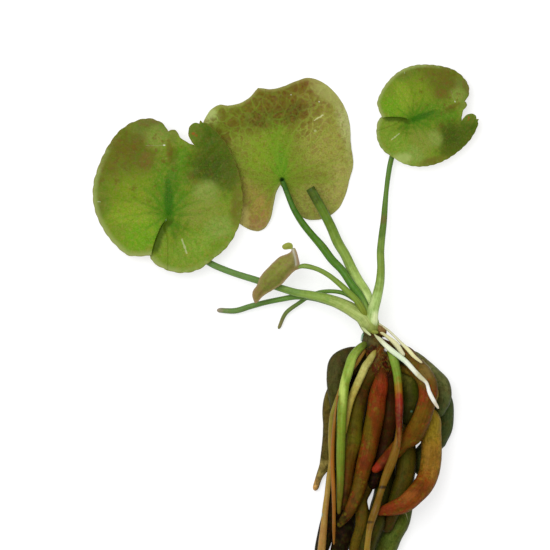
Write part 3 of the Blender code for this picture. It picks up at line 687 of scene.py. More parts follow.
MIDDLE_VEINS = [
    [(0, 0.4), (-1.1, 5.4), (-1.8, 10), (-2.6, 15.5), (-4.7, 20.7), (-6, 25.3)],
    [(-0.6, 0.2), (-6.3, 0.6), (-11.5, 1.3), (-17, 1.6), (-24, 2.6)],
    [(-0.8, 0.6), (-7.5, 3.3), (-12.4, 6.1), (-18, 8.4), (-24.5, 10.5)],
    [(-0.8, 1.6), (-6.3, 8.8), (-8.7, 11.6), (-12.4, 13.7), (-17, 15.2), (-22.5, 17)],
    [(-1.2, 4.5), (-5, 13.1), (-7.2, 15.5), (-10, 16.8), (-14, 18.3), (-18.5, 21)],
    [(-3, 17.5), (-7, 20.5), (-10, 23.5)],
    [(-0.2, 2.5), (1.4, 8.5), (3.2, 13.1), (5.7, 16.8), (7.8, 18.6), (11.2, 22.3), (13.6, 26)],
    [(-1.5, 9), (-1, 13.5), (-0.5, 18), (1.4, 21.4), (2.6, 24.4), (5, 28.5)],
    [(0.4, 1.2), (4.7, 6.4), (8.4, 10), (12.1, 14), (16, 18.3), (18, 21.5)],
    [(0.8, 0.5), (6, 3.3), (11.2, 4.5), (15.8, 5.1), (21, 5.3)],
    [(0.8, 0), (6, -0.7), (10.9, -0.7), (15.1, -0.4), (20, 0)],
    [(0.7, -0.6), (4.7, -4.7), (8.4, -8.3), (10, -11)],
    [(0.8, -0.4), (7.2, -3.1), (12.1, -5.9), (16.5, -8.2)],
    [(-0.7, -0.3), (-4.7, -2.5), (-7.5, -5), (-10, -8), (-12, -12.5)],
    [(-0.5, -0.6), (-3.2, -4), (-5.7, -8.3), (-7.8, -13.5)],
]

LEFT_JOINT = (-35.4, 32.1, 6.1)
RIGHT_JOINT = (37.62, 60.74, 4.7)
MIDDLE_JOINT = (-1.2, 42.6)
LEFT_LEAF_SIZE, RIGHT_LEAF_SIZE = 0.993, 0.667
RIGHT_LEAF_TURN = math.radians(-70.8)
PAD_HALF_WIDTH = 22.5
LEAF_THICKNESS, YOUNG_LEAF_THICKNESS = 0.34, 0.45
LOWEST_BLADE = LEAF_THICKNESS / 2 + 0.05

# The width of the small squares that each leaf is cut into.
LEFT_LEAF_CELL, RIGHT_LEAF_CELL, MIDDLE_LEAF_CELL, YOUNG_LEAF_CELL = 0.42, 0.5, 0.42, 0.26

# How far from the slit its folding is felt, how far its right side slides, how deep that side is
# pressed, and how much the left side rises.
SLIT_REACH, SLIT_SLIDE, SLIT_DEPTH, SLIT_RISE = 3.2, 2.2, 1.1, 0.35

# The young leaf's lower end, the ways along and across it, and the pale band near its tip.
YOUNG_LEAF_END, YOUNG_LEAF_HEIGHT = (-9.3, 5.4), 10.0
YOUNG_LEAF_ALONG, YOUNG_LEAF_ACROSS = (0.70, 0.71), (0.71, -0.70)
YOUNG_LEAF_BAND = [(2.05, 21.9), (2.55, 19.6), (2.85, 17.2)]

# Points of a rim are this far apart, and its scallops this wide.
RIM_STEP = 0.5
SCALLOP_WIDTH = 3.4
RIM_ROUGHNESS = 0.08

# Where side branches leave a vein, in shares of its length, and to which side.
FORKS = ((0.45, 1), (0.62, -1), (0.78, 1))
FORK_TURN, FORK_STRAIGHTENING = 0.45, 0.9
FORK_STRENGTH = 0.55
SHORTEST_FORKED = 8


def flat_place(flat):
    """Places in the plane as rows of three."""
    return np.column_stack((flat, np.zeros(len(flat))))


def leaf_rim(runs, wave):
    """Points round a leaf, its outer edge lightly scalloped."""
    rim = np.array([point for run in runs for point in smooth_route(run, RIM_STEP)[:-1]])
    ahead = np.roll(rim, -1, axis=0) - np.roll(rim, 1, axis=0)
    outward = np.column_stack((ahead[:, 1], -ahead[:, 0]))
    outward /= np.linalg.norm(outward, axis=1)[:, None]
    if (rim[:, 0] * np.roll(rim[:, 1], -1) - np.roll(rim[:, 0], -1) * rim[:, 1]).sum() < 0:
        outward = -outward
    scallop = np.abs(np.sin(math.pi * distances_along(rim) / SCALLOP_WIDTH))
    scallop = wave * (scallop * 2.0 - 1.3)
    scallop += RIM_ROUGHNESS * noise_at(flat_place(rim), 1.6, 3.0)
    scallop *= ease(9.0, 16.0, np.linalg.norm(rim, axis=1))
    return rim + outward * scallop[:, None]


def add_sheet(name, rim, cell):
    """A flat face with that rim, cut into small squares."""
    deselect()
    bpy.ops.mesh.primitive_circle_add(vertices=len(rim), radius=1.0, fill_type="NGON")
    sheet = name_new_piece(name)
    place_corners(sheet, flat_place(rim))
    bpy.ops.object.mode_set(mode="EDIT")
    for axis, cut in ((0, (1, 0, 0)), (1, (0, 1, 0))):
        for place in np.arange(rim[:, axis].min() + cell / 2, rim[:, axis].max(), cell):
            at = [0.0, 0.0, 0.0]
            at[axis] = place * MM
            bpy.ops.mesh.select_all(action="SELECT")
            bpy.ops.mesh.bisect(plane_co=at, plane_no=cut, threshold=1e-6)
    bpy.ops.mesh.select_all(action="SELECT")
    bpy.ops.mesh.remove_doubles(threshold=0.04 * MM)
    bpy.ops.object.mode_set(mode="OBJECT")
    if sheet.data.polygons[0].normal.z < 0.0:
        bpy.ops.object.mode_set(mode="EDIT")
        bpy.ops.mesh.flip_normals()
        bpy.ops.object.mode_set(mode="OBJECT")
    return sheet


def line_distance(places, line):
    """Distance of every place from a line of straight pieces, and how far along it, 0 to 1."""
    line = np.array(line, dtype=float)
    best = np.full(len(places), FAR_AWAY)
    share = np.zeros(len(places))
    for index, (start, end) in enumerate(zip(line[:-1], line[1:])):
        ahead = end - start
        t = np.clip(((places - start) @ ahead) / (ahead @ ahead), 0.0, 1.0)
        away = np.linalg.norm(places - start - t[:, None] * ahead, axis=1)
        nearer = away < best
        best[nearer] = away[nearer]
        share[nearer] = (index + t[nearer]) / (len(line) - 1)
    return best, share


def with_forks(veins):
    """The veins, and side branches that leave them, each with its strength."""
    lines = []
    for number, vein in enumerate(veins):
        line = smooth_route(vein, 1.0)
        lines.append((line, 1.0))
        for part, side in FORKS:
            index = int(len(line) * part)
            if index + 2 >= len(line) or len(line) < SHORTEST_FORKED:
                continue
            ahead = line[index + 1] - line[index]
            turn = (-side if number % 2 else side) * FORK_TURN
            fork = [line[index]]
            for _ in range(int((len(line) - index) * 0.8)):
                fork.append(fork[-1] + turned(*ahead, turn))
                turn *= FORK_STRAIGHTENING
            lines.append((np.array(fork), FORK_STRENGTH))
    return lines


def vein_fields(flat, veins):
    """How strongly a vein shows at every place, and the distance to the nearest vein."""
    shown = np.zeros(len(flat))
    nearest = np.full(len(flat), FAR_AWAY)
    for line, strength in with_forks(veins):
        away, share = line_distance(flat, line)
        width = (0.42 - 0.26 * share) * (0.6 + 0.4 * strength)
        shown = np.maximum(shown, strength * (1.0 - 0.6 * share) * np.exp(-(away / width) ** 2))
        nearest = np.minimum(nearest, away)
    return shown, nearest


def net_place(flat, size=10.0, core=4.0):
    """Coordinates in which the fine veins' cells fan out from the joint."""
    reach = np.linalg.norm(flat, axis=1)
    turn = np.arctan2(flat[:, 0], flat[:, 1])
    return np.column_stack((turn * size, np.log(1.0 + reach / core) * size, np.zeros(len(flat))))


def leaf_surface(sheet, outer_runs, veins, relief):
    """Keep the leaf's own coordinates, veins and edge; return the coordinates and the relief."""
    flat = corners_of(sheet)[:, :2]
    shown, nearest = vein_fields(flat, veins)
    margin = np.vstack([smooth_route(run, RIM_STEP) for run in outer_runs])
    edge = line_distance(flat, margin)[0]
    place = flat_place(flat)
    store(sheet, "leaf", place)
    store(sheet, "net", net_place(flat))
    store(sheet, "vein", shown)
    store(sheet, "edge", edge)
    puffed = ease(0.2, 1.9, nearest) * ease(0.0, 3.0, edge)
    lift = relief * puffed + 0.10 * noise_at(place, 3.2, 2.0) + 0.25 * noise_at(place, 9.0, 5.0)
    lift *= ease(0.5, 4.0, np.linalg.norm(flat, axis=1))
    return flat, lift


def fold_slit(sheet, flat, lift):
    """Slide the right side of a round leaf's slit under its left side, and mark that part for
    painted shade.
    """
    line = np.array(SLIT)
    away = line_distance(flat, line)[0]
    down = -flat[:, 1]
    right = flat[:, 0] > np.interp(down, -line[:, 1], line[:, 0])
    near = (1.0 - ease(0.0, SLIT_REACH, away)) * ease(1.2, 4.5, down)
    moved = flat.copy()
    slide = SLIT_SLIDE * near * (1.0 - 0.65 * ease(10.0, 13.0, down))
    moved[:, 0] -= np.where(right, slide, 0.0)
    lift = lift + np.where(right, -SLIT_DEPTH * near, SLIT_RISE * near)
    # Where the painted shade goes on the part that slides under the left side.
    below = 1.0 - ease(2.0, 2.4, away + 0.15 * noise_at(np.column_stack((flat, away)), 1.5))
    below *= ease(0.6, 2.4, down) * (1.0 - ease(10.4, 12.6, down))
    store(sheet, "slit_shade", np.where(right, below, 0.0))
    return moved, lift


def finish_leaf(sheet, x, y, height, finishes, thickness, node, slot):
    """Put a leaf in its place, with a finish for each side, and give it its thickness."""
    place_corners(sheet, np.column_stack((x, y, height)) + TABLE_TO_FRAME)
    for finish in finishes:
        sheet.data.materials.append(finish)
    deselect()
    sheet.select_set(True)
    bpy.context.view_layer.objects.active = sheet
    solid = sheet.modifiers.new("thickness", "SOLIDIFY")
    solid.thickness = thickness * MM
    solid.offset = 0.0
    solid.material_offset = 1
    bpy.ops.object.modifier_apply(modifier=solid.name)
    turn_faces_out()
    sheet.data.shade_smooth()
    stand_for(sheet, node, slot)


def dress_pad(node, slot, joint, turn, size, finishes, cell):
    """A round leaf, drooping to its left side, with a rippled edge."""
    sheet = add_sheet(node, leaf_rim(PAD_RUNS, 0.10), cell)
    flat, lift = leaf_surface(sheet, PAD_RUNS[1:-1], PAD_VEINS, 0.20)
    moved, lift = fold_slit(sheet, flat, lift)
    x, y = flat[:, 0], flat[:, 1]
    droop = (joint[2] - 0.35) * (np.maximum(0.0, -x) / PAD_HALF_WIDTH) ** 2
    ripple = 0.35 * size * np.sin(5 * np.arctan2(y, x) + 0.6)
    ripple *= np.minimum(1.0, np.hypot(x, y) / 20.0) ** 2
    height = joint[2] - droop + ripple + lift * size
    height = np.maximum(height, LOWEST_BLADE)
    x, y = turned(moved[:, 0] * size, moved[:, 1] * size, turn)
    finish_leaf(sheet, x + joint[0], y + joint[1], height, finishes, LEAF_THICKNESS, node, slot)


def dress_middle_leaf(finishes):
    """The leaf that lies with its underside up, domed over its middle."""
    sheet = add_sheet("leaf_middle", leaf_rim(MIDDLE_RUNS, 0.0), MIDDLE_LEAF_CELL)
    flat, lift = leaf_surface(sheet, MIDDLE_RUNS, MIDDLE_VEINS, 0.16)
    out = np.hypot(flat[:, 0] + 2.0, flat[:, 1] - 8.0) / 24.5
    height = 0.35 + 3.7 * (1.0 - np.minimum(out, 1.0) ** 2) + lift
    height = np.maximum(height, LOWEST_BLADE)
    finish_leaf(sheet, flat[:, 0] + MIDDLE_JOINT[0], flat[:, 1] + MIDDLE_JOINT[1], height, finishes,
                LEAF_THICKNESS, "leaf_middle", "leaf_underside")


def dress_young_leaf(finish):
    """The young leaf is folded along its midrib like a boat, with a curled tip."""
    rim = leaf_rim(YOUNG_RUNS, 0.0)
    sheet = add_sheet("leaf_young", rim, YOUNG_LEAF_CELL)
    flat = corners_of(sheet)[:, :2]
    edge = line_distance(flat, np.vstack((rim, rim[:1])))[0]
    store(sheet, "leaf", flat_place(flat))
    store(sheet, "edge", edge)
    along = (flat - YOUNG_LEAF_END) @ YOUNG_LEAF_ALONG
    across = (flat - YOUNG_LEAF_END) @ YOUNG_LEAF_ACROSS
    height = YOUNG_LEAF_HEIGHT - 0.06 * (4.0 - flat[:, 0]) + 1.9 * ease(0.0, 3.2, edge)
    height -= 0.35 * np.exp(-((along - 5.4 - 0.3 * across) / 0.7) ** 2)
    height += 0.10 * np.sin(across * 3.2 + 0.25 * along) * ease(0.3, 1.2, edge)
    band = line_distance(flat, YOUNG_LEAF_BAND)[0]
    height -= 0.35 * np.exp(-(band / 0.35) ** 2)
    height += 0.12 * noise_at(np.column_stack((flat, edge)), 1.8, 6.0)
    store(sheet, "band", np.exp(-(band / 0.34) ** 2))
    finish_leaf(sheet, flat[:, 0], flat[:, 1], height, (finish, finish), YOUNG_LEAF_THICKNESS,
                "leaf_young", "leaf_young")


def add_floor():
    deselect()
    bpy.ops.mesh.primitive_circle_add(vertices=96, radius=FLOOR_RADIUS, fill_type="NGON")
    floor = bpy.context.object
    floor.name = "floor"
    material, _, surface = new_finish("floor paint", 0.9, 0.1)
    surface["Base Color"].default_value = (FLOOR_GREY, FLOOR_GREY, FLOOR_GREY, 1.0)
    surface["Emission Color"].default_value = (1.0, 1.0, 1.0, 1.0)
    surface["Emission Strength"].default_value = FLOOR_GLOW
    floor.data.materials.append(material)


def light_the_scene():
    """Soft white light from all round, and a square softbox overhead."""
    world = bpy.data.worlds.new("studio")
    bpy.context.scene.world = world
    world.use_nodes = True
    tree = world.node_tree
    background = tree.nodes["Background"].inputs
    background["Color"].default_value = (1.0, 1.0, 1.0, 1.0)
    glossy = put(tree, "ShaderNodeLightPath")["Is Glossy Ray"]
    strength = ranged(tree, glossy, 0.0, 1.0, WORLD_LIGHT, WORLD_SHEEN)
    tree.links.new(strength, background["Strength"])
    lamp = bpy.data.lights.new("overhead softbox", "AREA")
    lamp.shape = "SQUARE"
    lamp.size = SOFTBOX_WIDTH
    lamp.energy = SOFTBOX_WATTS
    item = bpy.data.objects.new("overhead softbox", lamp)
    bpy.context.collection.objects.link(item)
    item.location = SOFTBOX_PLACE
    item.rotation_euler = (-Vector(SOFTBOX_PLACE)).to_track_quat("-Z", "Y").to_euler()


def add_camera():
    camera = bpy.data.cameras.new("camera")
    item = bpy.data.objects.new("camera", camera)
    bpy.context.collection.objects.link(item)
    camera.sensor_width = SENSOR_WIDTH
    camera.lens = SENSOR_WIDTH * CAMERA_HEIGHT / (PICTURE_WIDTH * MM)
    camera.clip_start, camera.clip_end = CLOSEST_SEEN, FURTHEST_SEEN
    item.location = (PICTURE_CENTRE[0] * MM, PICTURE_CENTRE[1] * MM, CAMERA_HEIGHT)
    bpy.context.scene.camera = item
    bpy.context.scene.view_settings.view_transform = "Standard"


# Leaf finishes. Areas and marks are ovals in the leaf's own plane: x, y, half width, half length,
# turn, tint, strength. Scratches and painted glints are x, y, length, turn, width, tint, strength.
# Painted shade: the dark olive ovals at 14.5, 17; 13.8, 13.8; 19.2, 11.8 and 11.5, 24.6 stand for
# less light coming through where the leaf lies over the middle leaf, and the dark oval at 2.4, -4.4
# is a painted shadow beside the joint.
LEAF_TOP_AREAS = [
    (-12, 19, 9, 9.5, 30, 98, 98, 32, 0.85), (-16.5, 11, 6, 8, 10, 108, 120, 40, 0.7),
    (-3.5, 26, 7, 3.5, 0, 112, 124, 58, 0.7), (-3.6, 23, 3.4, 3, 0, 136, 154, 66, 0.75),
    (-8.8, 6.5, 8, 6, 0, 124, 150, 36, 0.7), (-10, -0.5, 7.5, 3.4, -10, 138, 166, 46, 0.75),
    (-7.8, -6.3, 5.5, 4, 30, 112, 162, 32, 0.8), (-19.9, 7.2, 1.8, 5, 8, 104, 120, 48, 0.5),
    (-19.4, 1.8, 2, 3.5, -15, 96, 120, 44, 0.5), (6, 13.5, 3.2, 4, 0, 112, 124, 48, 0.6),
    (5, 16.2, 3, 5, 15, 84, 138, 22, 0.75), (14.5, 17, 7.6, 10.5, -25, 78, 94, 8, 0.95),
    (13.8, 13.8, 5.2, 4.6, 0, 66, 84, 6, 0.8), (19.2, 11.8, 3.2, 5, -15, 80, 94, 12, 0.85),
    (11.5, 24.6, 4, 3.6, 0, 70, 92, 22, 0.8), (11.4, 6.8, 3.8, 3.3, 0, 142, 160, 74, 0.85),
    (10.5, 0.4, 7, 4, 0, 138, 150, 62, 0.75), (15.5, -4.2, 5, 3.2, 20, 136, 162, 72, 0.8),
    (20.8, 3, 1.8, 6, -5, 112, 104, 42, 0.75), (4.5, -12.6, 7, 4, 0, 124, 154, 50, 0.8),
    (9.4, -8.4, 4.5, 3.4, 0, 130, 164, 56, 0.7), (2.4, -4.4, 1.2, 3, -12, 90, 118, 30, 0.75),
    (5.2, -3.6, 0.7, 2.2, -30, 92, 122, 30, 0.6), (8.4, 25.2, 2.2, 2.8, 0, 98, 118, 42, 0.85),
    (1.9, 23.6, 1, 2.6, 0, 116, 128, 52, 0.7), (0.4, 6, 5.4, 9.5, 0, 80, 130, 22, 0.7),
    (0.3, 4.6, 1.3, 6.4, 2, 46, 98, 14, 0.85), (1.6, 11, 1.2, 4.5, 8, 72, 116, 22, 0.6),
    (-12.4, 19.4, 3, 2.6, 20, 116, 88, 38, 0.32), (-17.4, 14.6, 2.4, 3, 10, 112, 92, 40, 0.35),
    (-8.6, 22.6, 2.2, 1.6, 0, 112, 88, 40, 0.4), (-15.6, 21.4, 2, 1.8, 0, 110, 94, 42, 0.35),
    (-6, 28.2, 4.4, 1.1, 0, 112, 96, 50, 0.55), (-20.6, 1, 1.2, 4.5, -8, 112, 108, 50, 0.4),
    (-6.4, 16.6, 2, 3, -20, 122, 96, 44, 0.55), (0.5, 18.8, 0.9, 3.4, 3, 108, 84, 36, 0.6),
    (2, 17.8, 1.2, 3.2, 0, 94, 92, 28, 0.55), (6.9, 11.9, 1.2, 1.2, 0, 104, 88, 36, 0.5)]
LEAF_TOP_MARKS = [
    (-1, 21, 0.3, 0.18, 0, 226, 224, 206, 0.85), (7.7, 24.5, 0.5, 0.4, 0, 170, 74, 44, 0.6),
    (8.6, 23.9, 0.4, 0.35, 0, 160, 78, 44, 0.5)]
LEAF_TOP_SCRATCHES_AND_GLINTS = [
    # The first two are painted highlights: glints along a ridge and along a wet fold.
    (4.2, -7.2, 4.8, 70, 0.3, 184, 190, 140, 0.65),
    (-6.6, 20.9, 5.5, 0, 0.13, 160, 160, 120, 0.35),
    (-21.2, 4.1, 1, 10, 0.18, 190, 196, 160, 0.5)]
# The pale oval at -11.6, -4 is painted light, lifting the shadow that the round leaf beside it
# casts.
LEAF_UNDER_AREAS = [
    (0.5, 23, 12, 6, -12, 102, 92, 34, 0.9), (10.4, 23.5, 7, 4.5, -30, 148, 138, 64, 0.8),
    (-12.5, 17.6, 8, 4.5, 15, 98, 112, 32, 0.8), (-4.6, 18.2, 7, 2.8, 8, 78, 72, 18, 0.9),
    (3.6, 20.5, 6, 2.6, 18, 76, 68, 18, 0.9), (-6.5, 8, 5.5, 5, 0, 126, 160, 40, 0.7),
    (-13.5, 8, 4, 7, -30, 138, 156, 58, 0.6), (13.6, 12.5, 7.5, 10, 0, 172, 170, 82, 0.85),
    (19, 18.4, 2.4, 8.6, 12, 196, 200, 128, 0.85), (21, 8, 1.6, 9, 0, 182, 190, 112, 0.6),
    (13.8, 26.8, 6.5, 3, -35, 176, 178, 100, 0.85), (8, 29.4, 3.4, 1.6, 0, 132, 92, 44, 0.8),
    (4.8, 27.2, 2.2, 1.6, 0, 112, 70, 36, 0.6), (11.5, -6.5, 8, 5.5, 0, 180, 176, 92, 0.85),
    (18.4, -0.4, 3.6, 7, 0, 184, 180, 96, 0.85), (-7.6, -9.5, 4.6, 6.5, 10, 184, 152, 82, 0.9),
    (-7, -14, 3.5, 2.2, 0, 178, 142, 94, 0.8), (-11.6, -4, 3.5, 6, 20, 166, 156, 74, 0.75),
    (-21.8, 19.4, 2.8, 3, 0, 160, 180, 92, 0.9), (-0.8, 8, 3.2, 10, 4, 98, 146, 20, 0.75),
    (-0.4, 3.6, 1.9, 5, 3, 76, 148, 14, 0.8)]
LEAF_UNDER_MARKS = [
    (2.7, 25.5, 0.17, 0.17, 0, 220, 220, 200, 0.5),
    (11.1, 23.4, 0.19, 0.19, 0, 226, 226, 210, 0.7), (9.9, 14.7, 0.4, 0.3, 0, 190, 194, 140, 0.6),
    (0, 0, 0.75, 0.75, 0, 22, 52, 26, 0.95), (-11.6, -11.2, 1.7, 3.2, 0, 212, 198, 118, 0.75),
    (20.2, 17.5, 1.2, 6, 6, 200, 206, 144, 0.35), (13.4, 26.4, 6, 2.2, -35, 168, 170, 98, 0.55),
    (-22, 20, 2.1, 2, 0, 184, 198, 124, 0.6)]
LEAF_UNDER_SCRATCHES = [(9.5, 17.7, 3.4, -32, 0.26, 206, 208, 150, 0.8)]
YOUNG_LEAF_AREAS = [
    (-2, 16.4, 3, 2.4, 45, 142, 146, 64, 0.8), (-4.6, 12, 2.4, 4, -40, 124, 134, 52, 0.7),
    (-8.6, 8.4, 1.6, 2.6, 0, 142, 122, 70, 0.8)]
YOUNG_LEAF_MARKS = [
    (0.6, 22.8, 2.2, 1.3, 0, 150, 160, 72, 0.95), (3.5, 18.6, 0.5, 2.4, 8, 158, 132, 110, 0.7)]

# A pale spot on the smaller round leaf alone, in the frame's plane.
RIGHT_LEAF_SPOT = (34.8, 48.6, 2.6, 1.7, 0, 180, 196, 116, 0.6)


def hue_shifted(tree, colour, saturation, value, hue=0.5):
    return put(tree, "ShaderNodeHueSaturation", {
        "Hue": hue, "Saturation": saturation, "Value": value, "Color": colour})[0]


def add_hue_grain(tree, colour, flat):
    """Reddish and greenish mottles and grain, as a leaf's small cells show."""
    redder = hue_shifted(tree, colour, 0.95, 0.98, 0.425)
    duller = hue_shifted(tree, colour, 0.84, 0.98, 0.425)
    greener = hue_shifted(tree, colour, 1.06, 0.96, 0.54)
    return lay_mottles(tree, colour, flat, (
        (0.55, 0.5, 0.64, 2, redder, 0.42), (0.8, 0.52, 0.66, 2, greener, 0.4),
        (1.25, 0.5, 0.64, 2, duller, 0.4), (1.9, 0.5, 0.64, 2, greener, 0.38),
        (2.9, 0.52, 0.66, 2, duller, 0.34)))


def leaf_top_finish():
    material, tree, surface = new_finish("leaf top", 0.5, 0.06)
    flat, fan = read(tree, "leaf", "Vector"), read(tree, "net", "Vector")
    vein, edge = read(tree, "vein"), read(tree, "edge")
    colour = add_patches(tree, tint(118, 144, 42), flat, LEAF_TOP_AREAS)
    brown = mottle(tree, flat, 0.42, 0.52, 0.68, 8)
    upper = broad_patch(tree, flat, (-8, 17), (17, 13), 0.6, 0.55)
    colour = lay(tree, colour, (112, 84, 38), brown, sums(tree, "ADD", upper, 0.16))
    colour = lay_mottles(tree, colour, flat, (
        (0.9, 0.5, 0.72, 6, (84, 134, 26), 0.4), (1.7, 0.55, 0.75, 4, (152, 170, 72), 0.3)))
    net = use_group(tree, "net", {"Place": fan, "Scale": 0.8, "Width": 0.2})["Mask"]
    colour = lay(tree, colour, (70, 116, 26), net, 0.16)
    colour = lay_mottles(tree, colour, flat, ((2.6, 0.5, 0.7, 2, (116, 98, 38), 0.4),))
    colour = add_hue_grain(tree, colour, flat)
    near = ranged(tree, length_of(tree, flat), 3, 16, 0.55, 0.12)
    colour = lay(tree, colour, (62, 118, 28), vein, near)
    pale = broad_patch(tree, flat, (-9, -2), (24, 22), 0.35, 0.75)
    colour = lay(tree, colour, (158, 168, 102), ranged(tree, edge, 0.1, 2.1, 1, 0), pale)
    colour = lay(tree, colour, (132, 112, 60), ranged(tree, edge, 0, 0.35, 0.5, 0))
    # Painted shade on the part of the slit that slides under the other side.
    colour = lay(tree, colour, (72, 92, 18), read(tree, "slit_shade"), 0.9)
    colour = add_scratches_and_glints(tree, colour, flat, LEAF_TOP_SCRATCHES_AND_GLINTS)
    colour = add_patches(tree, colour, flat, LEAF_TOP_MARKS)
    colour = add_patches(tree, colour, plan_place(tree), [RIGHT_LEAF_SPOT])
    tree.links.new(colour, surface["Base Color"])
    pores = noise_texture(tree, flat, 2.2, 4)[0]
    height = sums(tree, "SUBTRACT", pores, times(tree, net, 0.6))
    add_bump(tree, surface, sums(tree, "SUBTRACT", height, vein), 0.12, 0.7)
    wet = mottle(tree, flat, 0.3, 0.35, 0.7)
    tree.links.new(ranged(tree, wet, 0, 1, 0.38, 0.56), surface["Roughness"])
    return material


def leaf_under_finish():
    material, tree, surface = new_finish("leaf underside", 0.55, 0.05)
    flat, fan = read(tree, "leaf", "Vector"), read(tree, "net", "Vector")
    vein, edge = read(tree, "vein"), read(tree, "edge")
    colour = add_patches(tree, tint(122, 142, 46), flat, LEAF_UNDER_AREAS)
    net = use_group(tree, "net", {"Place": fan, "Scale": 0.78, "Width": 0.15})
    core = broad_patch(tree, flat, (-1.5, 5), (9, 11), 0.6, 0.75)
    across, high, _ = put(tree, "ShaderNodeSeparateXYZ", {0: flat})
    cells = ranged(tree, net["Mask"], 0, 0.9, 1, 0)
    cells = times(tree, cells, ranged(tree, net["Cell"], 0, 0.9, 0.6, 1))
    cells = times(tree, cells, sums(tree, "SUBTRACT", 0.9, core))
    cells = sums(tree, "MULTIPLY", cells, ranged(tree, high, 6, 19, 0.55, 1.3), True)
    cells = times(tree, cells, ranged(tree, across, 7, 16, 1, 0.5))
    blotch = mottle(tree, flat, 0.35, 0.3, 0.6)
    cells = times(tree, cells, ranged(tree, blotch, 0, 1, 0.3, 0.72))
    colour = lay(tree, colour, (104, 74, 28), cells)
    fine = use_group(tree, "net", {"Place": fan, "Scale": 1.5, "Width": 0.3})["Mask"]
    colour = lay(tree, colour, (128, 150, 56), fine, 0.22)
    colour = lay(tree, colour, (128, 148, 54), ranged(tree, net["Mask"], 0.4, 1, 0, 0.2))
    colour = lay_mottles(tree, colour, flat, (
        (0.8, 0.5, 0.7, 6, (142, 104, 58), 0.5), (1.9, 0.5, 0.68, 3, (116, 104, 44), 0.4)))
    colour = add_hue_grain(tree, colour, flat)
    vein = times(tree, vein, ranged(tree, high, 9, 20, 0.6, 0.32))
    colour = lay(tree, colour, (124, 158, 48), vein)
    colour = lay(tree, colour, (164, 160, 96), ranged(tree, edge, 0.1, 1.3, 0.5, 0))
    colour = add_patches(tree, colour, flat, LEAF_UNDER_MARKS)
    colour = add_scratches_and_glints(tree, colour, flat, LEAF_UNDER_SCRATCHES)
    tree.links.new(colour, surface["Base Color"])
    pores = noise_texture(tree, flat, 2.4, 4)[0]
    height = sums(tree, "ADD", pores, times(tree, net["Mask"], 0.6))
    add_bump(tree, surface, sums(tree, "ADD", height, times(tree, vein, 1.2)), 0.14, 0.8)
    return material


def young_leaf_finish():
    material, tree, surface = new_finish("young leaf", 0.5, 0.1)
    flat = read(tree, "leaf", "Vector")
    colour = add_patches(tree, tint(144, 136, 76), flat, YOUNG_LEAF_AREAS)
    colour = lay_mottles(tree, colour, flat, (
        (0.7, 0.45, 0.7, 7, (120, 100, 48), 0.45), (2.4, 0.5, 0.7, 3, (104, 128, 50), 0.4)))
    colour = add_hue_grain(tree, colour, flat)
    colour = lay(tree, colour, (164, 136, 108), ranged(tree, read(tree, "edge"), 0, 0.9, 0.6, 0))
    colour = add_patches(tree, colour, flat, YOUNG_LEAF_MARKS)
    colour = lay(tree, colour, (206, 204, 190), read(tree, "band"), 0.75)
    tree.links.new(colour, surface["Base Color"])
    add_bump(tree, surface, noise_texture(tree, flat, 2, 5)[0], 0.15, 0.8)
    return material
